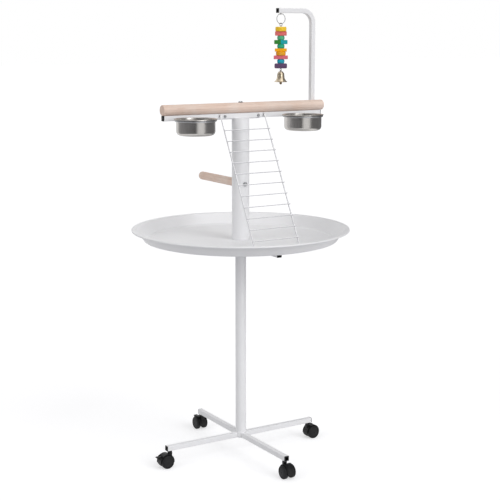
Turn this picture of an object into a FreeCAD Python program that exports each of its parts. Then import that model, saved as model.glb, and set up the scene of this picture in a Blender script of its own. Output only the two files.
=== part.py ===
import FreeCAD
import Part
import Sketcher
import math
import os
import re

# Rolling play stand for small parrots, in millimetres. The frame stands on the floor under the pole:
# +X runs along the main perch, +Y points to the back, +Z is up.

SIZES = (
    # casters
    ("wheel_diameter", 40.0),
    ("wheel_width", 12.5),
    ("wheel_spacing", 12.0),
    ("wheel_edge", 3.5),
    ("wheel_rim", 4.5),
    ("wheel_dish", 1.2),
    ("wheel_boss", 14.0),
    ("wheel_cover", 3.0),
    ("axle_diameter", 5.0),
    ("axle_clearance", 0.08),
    ("axle_end_gap", 0.3),
    ("caster_height", 50.0),
    ("caster_trail", 14.0),
    ("stem_diameter", 8.0),
    ("stem_clearance", 0.08),
    ("stem_reach", 11.0),
    ("stem_sink", 22.0),
    ("stem_end_gap", 1.0),
    ("neck_size", 11.0),
    ("neck_gap", 0.6),
    ("hood_gap", 0.9),
    ("hood_wall", 2.2),
    ("hood_width", 25.0),
    ("hood_drop", 4.0),
    ("web_gap", 0.6),
    ("web_lift", 13.0),
    ("brake_barrel", 4.8),
    ("brake_clearance", 0.08),
    ("brake_wall", 1.9),
    ("brake_width", 12.0),
    ("brake_reach", 14.0),
    ("brake_plate", 3.8),
    ("brake_rise", 42.0),
    ("brake_gap", 0.6),
    ("brake_travel", 4.0),
    ("brake_lift", 0.4),
    # base
    ("leg_tube", 15.0),
    ("tube_wall", 1.2),
    ("tube_corner", 1.6),
    ("leg_reach", 255.0),
    ("cap_plate", 2.0),
    ("cap_plug", 4.0),
    ("cap_slack", 0.1),
    ("stem_inset", 12.0),
    ("hub_diameter", 28.0),
    ("hub_wall", 2.0),
    ("hub_spigot", 55.0),
    ("hub_flange", 36.0),
    ("weld_gap", 0.05),
    # pole and tray
    ("pole_diameter", 32.0),
    ("pole_wall", 1.4),
    ("pole_length", 570.0),
    ("support_width", 15.0),
    ("support_height", 20.0),
    ("support_reach", 212.0),
    ("tray_diameter", 640.0),
    ("tray_lip", 15.0),
    ("tray_flare", 37.0),
    ("tray_depth", 33.0),
    ("tray_sheet", 2.0),
    ("tray_wall_run", 2.4),
    ("tray_step", 2.5),
    ("tray_step_width", 10.0),
    ("tray_stud_diameter", 8.0),
    ("tray_stud_slack", 0.3),
    ("tray_stud_tail", 4.0),
    # upper post and crossbar
    ("post_diameter", 51.0),
    ("post_wall", 1.5),
    ("post_length", 352.0),
    ("plug_height", 12.0),
    ("plug_slack", 0.1),
    ("bracket_plate", 3.0),
    ("bracket_width", 140.0),
    ("bracket_spigot", 20.0),
    ("bracket_spigot_wall", 2.0),
    ("bracket_bolt_spacing", 112.0),
    ("bracket_bolt_rise", 6.5),
    ("bolt_diameter", 5.0),
    ("bolt_head", 9.0),
    ("bolt_head_height", 3.0),
    ("bolt_slack", 0.2),
    ("nut_width", 9.0),
    ("nut_height", 4.0),
    ("bolt_tail", 1.5),
    ("bolt_edge", 1.2),
    ("bolt_end_gap", 1.0),
    ("crossbar_tube", 15.0),
    ("crossbar_left", 253.0),
    ("crossbar_right", 277.0),
    # perches
    ("perch_diameter", 30.0),
    ("perch_left", 254.5),
    ("perch_right", 284.0),
    ("perch_edge", 1.5),
    ("perch_gap", 0.1),
    ("perch_bolt_diameter", 6.0),
    ("perch_bolt_head", 13.0),
    ("perch_bolt_crown", 4.0),
    ("perch_nut_width", 11.0),
    ("perch_nut_height", 5.0),
    ("side_perch_diameter", 25.0),
    ("side_perch_reach", 236.0),
    ("side_perch_height", 165.0),
    ("side_perch_dome", 9.0),
    ("side_perch_gap", 0.3),
    ("side_bolt_head", 11.0),
    ("side_bolt_head_height", 4.0),
    ("side_bolt_depth", 40.0),
    ("washer_diameter", 17.0),
    ("washer_height", 1.2),
    # bowls
    ("bowl_rim", 121.0),
    ("bowl_diameter", 109.0),
    ("bowl_height", 46.0),
    ("bowl_sheet", 1.0),
    ("bowl_rim_plate", 1.6),
    ("bowl_corner", 12.0),
    ("bowl_clearance", 1.5),
    ("bowl_left", 190.0),
    ("bowl_right", 165.0),
    ("ring_wire", 4.0),
    ("ring_slack", 0.5),
    ("seat_gap", 0.3),
    ("stud_diameter", 5.0),
    ("stud_rise", 5.0),
    ("stud_drop", 0.7),
    ("stud_tail", 9.0),
    ("stud_slack", 0.2),
    ("wing_hub", 10.0),
    ("wing_hub_height", 6.0),
    ("wing_span", 24.0),
    ("wing_height", 9.0),
    ("wing_plate", 2.2),
    ("wing_edge", 0.6),
    ("wing_stand_off", 1.5),
    # ladder
    ("ladder_width", 148.0),
    ("ladder_foot", 203.0),
    ("ladder_foot_gap", 1.4),
    ("rail_diameter", 4.0),
    ("rail_bend", 5.0),
    ("rail_peg", 8.5),
    ("hook_rise", 9.0),
    ("hook_stand_off", 6.0),
    ("slot_side", 0.5),
    ("slot_up", 1.4),
    ("rung_diameter", 3.0),
    ("rung_overhang", 2.0),
    ("rung_first", 46.0),
    ("rung_pitch", 33.5),
    # toy arm
    ("arm_tube", 14.0),
    ("arm_wall", 1.2),
    ("arm_inset", 12.0),
    ("arm_clearance", 0.8),
    ("arm_rise", 276.6),
    ("arm_bend", 36.0),
    ("arm_reach", 124.0),
    ("arm_spigot", 13.0),
    ("arm_sole", 2.0),
    ("arm_lift", 0.6),
    ("arm_swivel_clearance", 0.08),
    ("socket_wall", 2.0),
    ("socket_height", 28.0),
    ("socket_floor", 2.5),
    ("socket_web", 12.0),
    ("thumb_diameter", 5.0),
    ("thumb_knob", 14.0),
    ("thumb_knob_height", 7.0),
    ("thumb_rise", 8.0),
    ("thumb_neck", 2.0),
    ("thumb_edge", 1.2),
    # toy
    ("toy_inset", 13.0),
    ("toy_turn", 33.0),
    ("toy_wire", 2.0),
    ("eye_wire", 1.8),
    ("loop_diameter", 8.6),
    ("loop_drop", 4.5),
    ("toy_ring_diameter", 31.0),
    ("upper_eye_diameter", 9.7),
    ("lower_eye_diameter", 7.6),
    ("stack_gap", 2.0),
    ("bore_slack", 0.3),
    ("block_edge", 1.5),
    ("bead_diameter", 21.5),
    ("bead_height", 12.5),
    ("bead_end", 17.0),
    ("bead_shoulder", 2.5),
    ("yellow_diameter", 32.5),
    ("yellow_height", 13.3),
    ("disc_edge", 3.0),
    ("coral_length", 34.3),
    ("coral_depth", 20.0),
    ("coral_height", 12.5),
    ("twotone_length", 39.2),
    ("twotone_depth", 18.0),
    ("twotone_height", 12.0),
    ("amber_length", 35.3),
    ("amber_depth", 20.0),
    ("amber_height", 9.3),
    ("orange_diameter", 28.7),
    ("orange_height", 11.3),
    ("pink_length", 41.8),
    ("pink_depth", 22.0),
    ("pink_height", 10.5),
    ("purple_length", 37.2),
    ("purple_depth", 20.0),
    ("purple_height", 14.5),
    ("purple_edge", 3.5),
    # bell
    ("bell_height", 31.0),
    ("bell_mouth", 39.0),
    ("bell_waist", 23.5),
    ("bell_shoulder", 20.5),
    ("bell_crown", 13.0),
    ("bell_shoulder_rise", 24.8),
    ("bell_waist_rise", 11.2),
    ("bell_sheet", 1.2),
    ("bell_lip", 1.7),
    ("bell_shoulder_wall", 1.6),
    ("bell_drop", 1.0),
    ("bell_loop_wire", 1.6),
    ("bell_loop_diameter", 7.2),
    ("hanger_diameter", 5.8),
    ("hanger_drop", 1.0),
    ("clapper_ball", 8.0),
    ("clapper_wire", 1.4),
    ("clapper_drop", 30.0),
)

# Heights and offsets worked out from the sizes above.
PLACES = (
    ("axle_height", "wheel_diameter / 2"),
    ("hood_inner", "wheel_diameter + 2 * hood_gap"),
    ("hood_outer", "hood_inner + 2 * hood_wall"),
    ("web_width", "wheel_spacing - 2 * web_gap"),
    ("axle_length", "wheel_spacing + 2 * (wheel_width - wheel_cover - axle_end_gap)"),
    ("stem_out", "leg_reach - stem_inset"),
    ("neck_top", "caster_height - neck_gap"),
    ("brake_radius", "wheel_diameter / 2 + brake_barrel / 2 + brake_gap"),
    ("brake_out", "caster_trail + brake_radius * cos(brake_rise)"),
    ("brake_height", "axle_height + brake_radius * sin(brake_rise)"),
    ("leg_top", "caster_height + leg_tube"),
    ("pole_top", "leg_top + pole_length"),
    ("tray_base", "pole_top + support_height"),
    ("floor_top", "tray_base + tray_sheet"),
    ("rim_rise", "tray_step + tray_depth"),
    ("tray_floor", "tray_diameter - 2 * tray_flare"),
    ("tray_stud_length", "tray_sheet + plug_height + tray_stud_tail"),
    ("post_top", "floor_top + post_length"),
    ("post_bore", "post_diameter - 2 * post_wall"),
    ("bar_bottom", "post_top + bracket_plate"),
    ("bar_top", "bar_bottom + crossbar_tube"),
    ("bar_back", "crossbar_tube / 2"),
    ("perch_middle", "bar_top + perch_gap + perch_diameter / 2"),
    ("perch_top", "perch_middle + perch_diameter / 2"),
    ("side_perch_z", "floor_top + side_perch_height"),
    ("side_perch_start", "post_diameter / 2 + side_perch_gap"),
    ("stud_z", "bar_bottom + stud_rise"),
    ("ring_z", "stud_z + stud_drop"),
    ("ring_middle", "bowl_diameter + 2 * ring_slack + ring_wire"),
    ("bowl_base", "ring_z + ring_wire / 2 + seat_gap + bowl_rim_plate - bowl_height"),
    ("bowl_out", "perch_diameter / 2 + bowl_rim / 2 + bowl_clearance"),
    ("hook_z", "bar_bottom + hook_rise"),
    ("hook_y", "bar_back + hook_stand_off"),
    ("foot_z", "floor_top + ladder_foot_gap"),
    ("ladder_lean", "atan((ladder_foot - hook_y) / (hook_z - foot_z))"),
    ("rung_off", "rail_diameter / 2 + rung_diameter / 2 + weld_gap"),
    ("arm_x", "crossbar_right - arm_inset"),
    ("arm_diagonal", "arm_tube * sqrt(2) - 2 * tube_corner * (sqrt(2) - 1)"),
    ("arm_y", "perch_diameter / 2 + arm_diagonal / 2 + arm_clearance"),
    ("arm_top", "perch_middle + arm_rise"),
    ("arm_tip", "arm_x - arm_reach"),
    ("socket_bore", "arm_spigot + 2 * arm_swivel_clearance"),
    ("socket_outer", "socket_bore + 2 * socket_wall"),
    ("socket_base", "bar_top - socket_height"),
    ("spigot_foot", "socket_base + socket_floor + seat_gap"),
    ("arm_foot", "bar_top + arm_lift"),
    ("toy_x", "arm_tip + toy_inset"),
    ("loop_ring", "loop_diameter - toy_wire"),
    ("loop_z", "arm_top - arm_tube / 2 - loop_drop"),
    ("toy_ring_middle", "toy_ring_diameter - toy_wire"),
    ("toy_ring_z", "loop_z + toy_wire + seat_gap - toy_ring_middle / 2"),
    ("ring_low", "toy_ring_z - toy_ring_middle / 2"),
    ("upper_eye_ring", "upper_eye_diameter - eye_wire"),
    ("upper_eye_z", "ring_low + toy_wire / 2 + seat_gap + eye_wire / 2 - upper_eye_ring / 2"),
    ("stack_top", "upper_eye_z - upper_eye_diameter / 2 - stack_gap"),
    ("yellow_base", "stack_top - yellow_height"),
    ("coral_base", "yellow_base - coral_height"),
    ("bead_one_base", "coral_base - bead_height"),
    ("twotone_base", "bead_one_base - twotone_height"),
    ("bead_two_base", "twotone_base - bead_height"),
    ("amber_base", "bead_two_base - amber_height"),
    ("orange_base", "amber_base - orange_height"),
    ("pink_base", "orange_base - pink_height"),
    ("bead_three_base", "pink_base - bead_height"),
    ("purple_base", "bead_three_base - purple_height"),
    ("lower_eye_ring", "lower_eye_diameter - eye_wire"),
    ("lower_eye_z", "purple_base - seat_gap - lower_eye_diameter / 2"),
    ("bell_pivot", "lower_eye_z - lower_eye_ring / 2"),
    ("bell_loop_ring", "bell_loop_diameter - bell_loop_wire"),
    ("bell_loop_z", "bell_pivot + eye_wire / 2 + seat_gap + bell_loop_wire / 2 - bell_loop_ring / 2"),
    ("bell_top", "bell_pivot - eye_wire / 2 - bell_drop"),
    ("bell_base", "bell_top - bell_height"),
    ("hanger_ring", "hanger_diameter - clapper_wire"),
    ("hanger_z", "bell_top - bell_sheet - hanger_drop"),
    ("clapper_pivot", "hanger_z - hanger_ring / 2"),
    ("clapper_eye_z", "clapper_pivot + clapper_wire + seat_gap - hanger_ring / 2"),
    ("toy_bore", "eye_wire + 2 * bore_slack"),
)

TURN = {
    "X": FreeCAD.Rotation(FreeCAD.Vector(0, 1, 0), 90),
    "-X": FreeCAD.Rotation(FreeCAD.Vector(0, 1, 0), -90),
    "Y": FreeCAD.Rotation(FreeCAD.Vector(1, 0, 0), -90),
    "-Y": FreeCAD.Rotation(FreeCAD.Vector(1, 0, 0), 90),
    "Z": FreeCAD.Rotation(),
    "-Z": FreeCAD.Rotation(FreeCAD.Vector(1, 0, 0), 180),
}
HEADINGS = {"left": 180, "right": 0, "front": 270, "back": 90}
WAY_X = FreeCAD.Vector(1, 0, 0)
WAY_Y = FreeCAD.Vector(0, 1, 0)
WAY_Z = FreeCAD.Vector(0, 0, 1)

doc = FreeCAD.newDocument("bird_stand")
sizes = doc.addObject("Spreadsheet::Sheet", "Sizes")
for row, (alias, value) in enumerate(SIZES, 1):
    sizes.set("A%d" % row, alias)
    sizes.set("B%d" % row, str(value))
    sizes.setAlias("B%d" % row, alias)
doc.recompute()

places = doc.addObject("Spreadsheet::Sheet", "Places")
SHEET_OF = {alias: "Sizes" for alias, value in SIZES}


def formula(text):
    """Names the sheet in front of each alias in a formula."""
    return re.sub(r"[a-z_]+", lambda word: SHEET_OF[word.group()] + "." + word.group()
                  if word.group() in SHEET_OF else word.group(), text)


def place_formula(text):
    """A formula inside the second sheet, which names its own cells without a sheet."""
    return formula(text).replace("Places.", "")


for row, (alias, text) in enumerate(PLACES, 1):
    places.set("A%d" % row, alias)
    places.set("B%d" % row, "=" + place_formula(text))
    places.setAlias("B%d" % row, alias)
    SHEET_OF[alias] = "Places"
doc.recompute()

nodes = []


def mm(alias):
    """Reads one cell as a number."""
    value = doc.getObject(SHEET_OF[alias]).get(alias)
    return float(getattr(value, "Value", value))


def bind(thing, prop, text):
    thing.setExpression(prop, formula(text))


def place(thing, at, along="Z"):
    thing.Placement = FreeCAD.Placement(FreeCAD.Vector(), TURN[along])
    for axis, text in zip("xyz", at):
        if text != "0":
            bind(thing, "Placement.Base." + axis, text)


def node(thing):
    nodes.append(thing)
    return thing


def add(kind, label):
    thing = doc.addObject(kind, label)
    thing.Label = label
    return thing


def cylinder(label, diameter, length, at, along="Z"):
    thing = add("Part::Cylinder", label)
    bind(thing, "Radius", "(%s) / 2" % diameter)
    bind(thing, "Height", length)
    place(thing, at, along)
    return thing


def box(label, size, corner):
    thing = add("Part::Box", label)
    for prop, text in zip(("Length", "Width", "Height"), size):
        bind(thing, prop, text)
    place(thing, corner)
    return thing


def prism(label, width, height, at, along="Z"):
    """A hexagon nut blank, measured across its corners."""
    thing = add("Part::Prism", label)
    thing.Polygon = 6
    bind(thing, "Circumradius", "(%s) / 2" % width)
    bind(thing, "Height", height)
    place(thing, at, along)
    return thing


def torus(label, middle, wire, at, along="Z"):
    thing = add("Part::Torus", label)
    bind(thing, "Radius1", "(%s) / 2" % middle)
    bind(thing, "Radius2", "(%s) / 2" % wire)
    place(thing, at, along)
    return thing


def fuse(label, *pieces):
    thing = add("Part::MultiFuse", label)
    thing.Shapes = list(pieces)
    thing.Refine = True
    return thing


def cut(label, base, *tools):
    thing = add("Part::Cut", label)
    thing.Base = base
    thing.Tool = tools[0] if len(tools) == 1 else fuse(label + "_cutters", *tools)
    thing.Refine = True
    return thing


def common(label, one, other):
    thing = add("Part::Common", label)
    thing.Base = one
    thing.Tool = other
    return thing


def group(label, *pieces):
    thing = add("Part::Compound", label)
    thing.Links = list(pieces)
    return thing


def rounded(label, base, radius, along=None):
    """Rounds the straight edges of a box that run along one axis, or all of them."""
    doc.recompute()
    chosen = []
    for number, edge in enumerate(base.Shape.Edges, 1):
        way = edge.tangentAt(edge.FirstParameter)
        if along is None or abs(way.dot(along)) > 0.99:
            chosen.append((number, mm(radius), mm(radius)))
    thing = add("Part::Fillet", label)
    thing.Base = base
    thing.Edges = chosen
    return thing


def round_rims(label, base, radius, along):
    """Rounds the circular edges of a cylinder."""
    doc.recompute()
    chosen = []
    for number, edge in enumerate(base.Shape.Edges, 1):
        if isinstance(edge.Curve, Part.Circle) and abs(edge.Curve.Axis.dot(along)) > 0.99:
            chosen.append((number, mm(radius), mm(radius)))
    thing = add("Part::Fillet", label)
    thing.Base = base
    thing.Edges = chosen
    return thing


def turned(label, outline):
    """A body turned about Z from corners (radius, height, rounding)."""
    body = add("PartDesign::Body", label)
    plane = next(item for item in body.Origin.OriginFeatures if item.Role == "XZ_Plane")
    sketch = body.newObject("Sketcher::SketchObject", label + "_outline")
    sketch.AttachmentSupport = [(plane, "")]
    sketch.MapMode = "FlatFace"
    count = len(outline)
    start = [FreeCAD.Vector(10 + 5 * math.cos(2 * math.pi * i / count),
                            10 + 5 * math.sin(2 * math.pi * i / count), 0) for i in range(count)]
    for i in range(count):
        sketch.addGeometry(Part.LineSegment(start[i], start[(i + 1) % count]), False)
    for i in range(count):
        sketch.addConstraint(Sketcher.Constraint("Coincident", i, 2, (i + 1) % count, 1))
    for i, corner in enumerate(outline):
        for kind, text, line in (("DistanceX", corner[0], -2), ("DistanceY", corner[1], -1)):
            if text == "0":
                sketch.addConstraint(Sketcher.Constraint("PointOnObject", i, 1, line))
                continue
            began = start[i].x if kind == "DistanceX" else start[i].y
            index = sketch.addConstraint(Sketcher.Constraint(kind, -1, 1, i, 1, began))
            bind(sketch, "Constraints[%d]" % index, text)
    doc.recompute()
    turn = body.newObject("PartDesign::Revolution", label + "_turn")
    turn.Profile = sketch
    turn.ReferenceAxis = (sketch, ["V_Axis"])
    turn.Angle = 360
    doc.recompute()
    roundings = []
    for corner in outline:
        if len(corner) == 3 and corner[2] not in roundings:
            roundings.append(corner[2])
    for rounding in roundings:
        base = body.Tip
        edges = []
        for i, corner in enumerate(outline):
            if len(corner) != 3 or corner[2] != rounding:
                continue
            point = sketch.Geometry[i].StartPoint
            for number, edge in enumerate(base.Shape.Edges, 1):
                curve = edge.Curve
                if not isinstance(curve, Part.Circle) or abs(curve.Radius - point.x) > 0.001:
                    continue
                if abs(curve.Center.z - point.y) < 0.001:
                    edges.append("Edge%d" % number)
        fillet = body.newObject("PartDesign::Fillet", label + "_round_" + str(len(body.Group)))
        fillet.Base = (base, edges)
        bind(fillet, "Radius", rounding)
        doc.recompute()
    return body


def round_square(middle, width, corner):
    """A square outline with round corners, level about its middle."""
    half = width / 2
    flat = half - corner
    slant = flat + corner / math.sqrt(2)
    lines = []
    for quarter in range(4):
        turn = FreeCAD.Placement(middle, FreeCAD.Rotation(WAY_Z, 90 * quarter))
        start, first, bulge, last = [turn.multVec(FreeCAD.Vector(x, y, 0)) for x, y in (
            (half, -flat), (half, flat), (slant, slant), (flat, half))]
        lines.append(Part.LineSegment(start, first).toShape())
        lines.append(Part.Arc(first, bulge, last).toShape())
    return Part.Wire(lines)


def bent_rod(label, width, corners, bend, edge=None):
    """A rod along straight runs that meet in arcs, square if the rounding of its edges is given."""
    runs = []
    last = corners[0]
    for before, corner, after in zip(corners, corners[1:], corners[2:]):
        back = (before - corner).normalize()
        ahead = (after - corner).normalize()
        half = back.getAngle(ahead) / 2
        reach = bend / math.tan(half)
        one = corner + back * reach
        two = corner + ahead * reach
        inward = (back + ahead).normalize()
        middle = corner + inward * (bend / math.sin(half) - bend)
        runs.append(Part.LineSegment(last, one).toShape())
        runs.append(Part.Arc(one, middle, two).toShape())
        last = two
    runs.append(Part.LineSegment(last, corners[-1]).toShape())
    path = Part.Wire(runs)
    if edge is None:
        section = Part.Wire(Part.Circle(corners[0], corners[1] - corners[0], width / 2).toShape())
    else:
        section = round_square(corners[0], width, edge)
    thing = add("Part::Feature", label)
    thing.Shape = path.makePipeShell([section], True, False)
    return thing


def turn_to(thing, side, reach=None):
    """Turns a piece built along +X to its side of the base, and moves it out along that way."""
    angle = HEADINGS[side]
    thing.Placement = FreeCAD.Placement(FreeCAD.Vector(), FreeCAD.Rotation(FreeCAD.Vector(0, 0, 1), angle))
    if reach:
        bind(thing, "Placement.Base.x", "%s * %d" % (reach, round(math.cos(math.radians(angle)))))
        bind(thing, "Placement.Base.y", "%s * %d" % (reach, round(math.sin(math.radians(angle)))))
    return thing


# Casters, drawn once about the stem with the wheels trailing towards +X.
wheel_outline = (
    ("axle_diameter / 2 + axle_clearance", "0"),
    ("wheel_diameter / 2", "0", "wheel_edge"),
    ("wheel_diameter / 2", "wheel_width", "wheel_edge"),
    ("wheel_diameter / 2 - wheel_rim", "wheel_width"),
    ("wheel_diameter / 2 - wheel_rim - wheel_dish", "wheel_width - wheel_dish"),
    ("wheel_boss / 2 + wheel_dish", "wheel_width - wheel_dish"),
    ("wheel_boss / 2", "wheel_width"),
    ("0", "wheel_width"),
    ("0", "wheel_width - wheel_cover"),
    ("axle_diameter / 2 + axle_clearance", "wheel_width - wheel_cover"),
)
wheel_near = turned("wheel_near", wheel_outline)
place(wheel_near, ("caster_trail", "-wheel_spacing / 2", "axle_height"), "-Y")
wheel_far = turned("wheel_far", wheel_outline)
place(wheel_far, ("caster_trail", "wheel_spacing / 2", "axle_height"), "Y")
axle_blank = cylinder("axle_blank", "axle_diameter", "axle_length",
                      ("caster_trail", "-axle_length / 2", "axle_height"), "Y")

hood_block = common(
    "hood_block",
    cylinder("hood_round", "hood_outer", "hood_width",
             ("caster_trail", "-hood_width / 2", "axle_height"), "Y"),
    box("hood_part", ("hood_outer", "hood_width", "hood_outer"),
        ("caster_trail - hood_outer / 2", "-hood_width / 2", "axle_height - hood_drop")))
web_block = common(
    "web_block",
    cylinder("web_round", "hood_outer", "web_width",
             ("caster_trail", "-web_width / 2", "axle_height"), "Y"),
    box("web_part", ("hood_outer", "web_width", "hood_outer"),
        ("caster_trail - hood_outer / 2", "-web_width / 2", "web_lift")))
neck = rounded("neck", box("neck_block", ("neck_size", "neck_size", "neck_top - axle_height"),
                           ("-neck_size / 2", "-neck_size / 2", "axle_height")), "tube_corner", WAY_Z)
pocket_near = cylinder("pocket_near", "hood_inner", "hood_width",
                       ("caster_trail", "-web_width / 2", "axle_height"), "-Y")
pocket_far = cylinder("pocket_far", "hood_inner", "hood_width",
                      ("caster_trail", "web_width / 2", "axle_height"), "Y")
axle_hole = cylinder("axle_hole", "axle_diameter + 2 * weld_gap", "hood_width",
                     ("caster_trail", "-hood_width / 2", "axle_height"), "Y")
stem_hole = cylinder("stem_hole", "stem_diameter + 2 * stem_clearance", "stem_sink",
                     ("0", "0", "neck_top - stem_sink"))
housing_block = fuse("housing_block", hood_block, web_block, neck)
housing_holes = fuse("housing_holes", pocket_near, pocket_far, axle_hole, stem_hole)

# The braked casters carry a barrel seat for the lever on the outer side of the hood.
seat_boss = cylinder("seat_boss", "brake_barrel + 2 * brake_wall", "brake_width + 2 * brake_wall",
                     ("brake_out", "-brake_width / 2 - brake_wall", "brake_height"), "Y")
seat_bore = cylinder("seat_bore", "brake_barrel + 2 * brake_clearance", "brake_width + 2 * web_gap",
                     ("brake_out", "-brake_width / 2 - web_gap", "brake_height"), "Y")
seat_slot = box("seat_slot", ("brake_reach", "brake_width + 2 * web_gap",
                              "brake_plate + brake_travel + brake_lift"),
                ("brake_out", "-brake_width / 2 - web_gap",
                 "brake_height - brake_plate / 2 - brake_travel"))
braked_block = fuse("braked_block", housing_block, seat_boss)
braked_holes = fuse("braked_holes", housing_holes, seat_bore, seat_slot)
lever_blank = fuse(
    "lever_blank",
    cylinder("lever_barrel", "brake_barrel", "brake_width",
             ("brake_out", "-brake_width / 2", "brake_height"), "Y"),
    box("lever_plate", ("brake_reach", "brake_width", "brake_plate"),
        ("brake_out", "-brake_width / 2", "brake_height - brake_plate / 2")))

for side in HEADINGS:
    if side in ("left", "back"):
        housing = cut("caster_housing_" + side, braked_block, braked_holes)
        node(turn_to(group("brake_lever_" + side, lever_blank), side, "stem_out"))
    else:
        housing = cut("caster_housing_" + side, housing_block, housing_holes)
    node(turn_to(housing, side, "stem_out"))
    node(turn_to(group("caster_axle_" + side, axle_blank), side, "stem_out"))
    node(turn_to(group("caster_wheels_" + side, wheel_near, wheel_far), side, "stem_out"))

stem_blank = cylinder("stem_blank", "stem_diameter",
                      "stem_sink - stem_end_gap + neck_gap + stem_reach",
                      ("0", "0", "neck_top - stem_sink + stem_end_gap"))
node(group("caster_stems", *[turn_to(group("stem_" + side, stem_blank), side, "stem_out")
                             for side in HEADINGS]))


# Base: four square tubes welded to the hub.
def square_tube(label, start, length, width, height, base):
    """A square tube along +X with rounded corners."""
    outside = rounded(label + "_outside", box(label + "_block", (length, width, height),
                                              (start, "-(%s) / 2" % width, base)), "tube_corner", WAY_X)
    inside = box(label + "_inside", (length, width + " - 2 * tube_wall", height + " - 2 * tube_wall"),
                 (start, "-(%s) / 2 + tube_wall" % width, base + " + tube_wall"))
    return cut(label, outside, inside)


def square_cap(label, end, width, height, base):
    """An end cap for a square tube along +X: a plate outside and a plug inside the tube."""
    plate = rounded(label + "_plate", box(label + "_face", ("cap_plate", width, height),
                                          (end + " - cap_plate", "-(%s) / 2" % width, base)),
                    "tube_corner", WAY_X)
    slack = "(tube_wall + cap_slack)"
    plug = box(label + "_plug", ("cap_plug + cap_plate / 2", width + " - 2 * " + slack,
                                 height + " - 2 * " + slack),
               (end + " - cap_plate - cap_plug", "-(%s) / 2 + " % width + slack, base + " + " + slack))
    return fuse(label, plate, plug)


hub_round = fuse("hub_round",
                 cylinder("hub_disc", "hub_flange", "leg_tube", ("0", "0", "caster_height")),
                 cylinder("hub_pin", "hub_diameter", "leg_tube + hub_spigot", ("0", "0", "caster_height")))
hub_bore = cylinder("hub_bore", "hub_diameter - 2 * hub_wall", "leg_tube + hub_spigot",
                    ("0", "0", "caster_height + hub_wall"))
node(cut("base_hub", hub_round, hub_bore))

leg_blank = square_tube("leg_blank", "0", "leg_reach - cap_plate", "leg_tube", "leg_tube", "caster_height")
leg_trim = cylinder("leg_trim", "hub_flange + 2 * weld_gap", "leg_tube", ("0", "0", "caster_height"))
leg_stem_hole = cylinder("leg_stem_hole", "stem_diameter + 2 * weld_gap", "leg_tube / 2",
                         ("stem_out", "0", "caster_height"))
leg_cutters = fuse("leg_cutters", leg_trim, leg_stem_hole)
for side in HEADINGS:
    node(turn_to(cut("leg_" + side, leg_blank, leg_cutters), side))

leg_cap = square_cap("leg_cap", "leg_reach", "leg_tube", "leg_tube", "caster_height")
bar_cap_right = square_cap("bar_cap_right", "crossbar_right", "crossbar_tube", "crossbar_tube",
                           "bar_bottom")
bar_cap_left = turn_to(group("bar_cap_left", square_cap("bar_cap_other", "crossbar_left", "crossbar_tube",
                                                        "crossbar_tube", "bar_bottom")), "left")
node(group("leg_caps", *[turn_to(group("leg_cap_" + side, leg_cap), side) for side in HEADINGS]))
node(group("crossbar_caps", bar_cap_left, bar_cap_right))


# Pole, support bar and tray.
node(cut("lower_pole",
         cylinder("pole_outside", "pole_diameter", "pole_length", ("0", "0", "leg_top")),
         cylinder("pole_inside", "pole_diameter - 2 * pole_wall", "pole_length", ("0", "0", "leg_top"))))

support_blank = square_tube("support_blank", "-support_reach + cap_plate",
                            "2 * (support_reach - cap_plate)", "support_width", "support_height", "pole_top")
node(turn_to(group("support_bar", support_blank), "back"))
support_cap = square_cap("support_cap", "support_reach", "support_width", "support_height", "pole_top")
node(group("support_bar_caps", *[turn_to(group("support_cap_" + side, support_cap), side)
                                 for side in ("front", "back")]))

tray = node(turned("tray", (
    ("tray_stud_diameter / 2 + tray_stud_slack", "0"),
    ("tray_floor / 2 - tray_step_width", "0"),
    ("tray_floor / 2 - tray_step_width + tray_step", "tray_step"),
    ("tray_floor / 2", "tray_step"),
    ("tray_diameter / 2 - tray_lip", "rim_rise - tray_sheet"),
    ("tray_diameter / 2", "rim_rise - tray_sheet"),
    ("tray_diameter / 2", "rim_rise"),
    ("tray_diameter / 2 - tray_lip - tray_wall_run / 2", "rim_rise"),
    ("tray_floor / 2 - tray_wall_run / 2", "tray_step + tray_sheet"),
    ("tray_floor / 2 - tray_step_width", "tray_step + tray_sheet"),
    ("tray_floor / 2 - tray_step_width - tray_step", "tray_sheet"),
    ("tray_stud_diameter / 2 + tray_stud_slack", "tray_sheet"),
)))
place(tray, ("0", "0", "tray_base"))
node(cylinder("tray_stud", "tray_stud_diameter", "tray_stud_length", ("0", "0", "tray_base")))


# Upper post with its foot plug and bracket.
post_tube = cut("post_tube",
                cylinder("post_outside", "post_diameter", "post_length", ("0", "0", "floor_top")),
                cylinder("post_inside", "post_bore", "post_length", ("0", "0", "floor_top")))
post_hole = cylinder("post_hole", "perch_bolt_diameter + 2 * bolt_slack", "2 * post_diameter",
                     ("0", "-post_diameter", "side_perch_z"), "Y")
node(cut("upper_post", post_tube, post_hole))
node(cut("post_foot_plug",
         cylinder("plug_round", "post_bore - 2 * plug_slack", "plug_height", ("0", "0", "floor_top")),
         cylinder("plug_thread", "tray_stud_diameter + 2 * weld_gap", "plug_height",
                  ("0", "0", "floor_top"))))

bracket_block = fuse(
    "bracket_block",
    cylinder("bracket_disc", "post_diameter", "bracket_plate", ("0", "0", "post_top")),
    cylinder("bracket_spigot_round", "post_bore - 2 * plug_slack", "bracket_spigot",
             ("0", "0", "post_top"), "-Z"),
    box("bracket_strip", ("bracket_width", "bracket_plate", "bracket_plate + crossbar_tube"),
        ("-bracket_width / 2", "bar_back", "post_top")))
bracket_hollow = cylinder("bracket_hollow", "post_bore - 2 * plug_slack - 2 * bracket_spigot_wall",
                          "bracket_spigot", ("0", "0", "post_top"), "-Z")
perch_bolt_hole = cylinder("perch_bolt_hole", "perch_bolt_diameter + 2 * bolt_slack",
                           "perch_top - post_top", ("0", "0", "post_top"))


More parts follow.
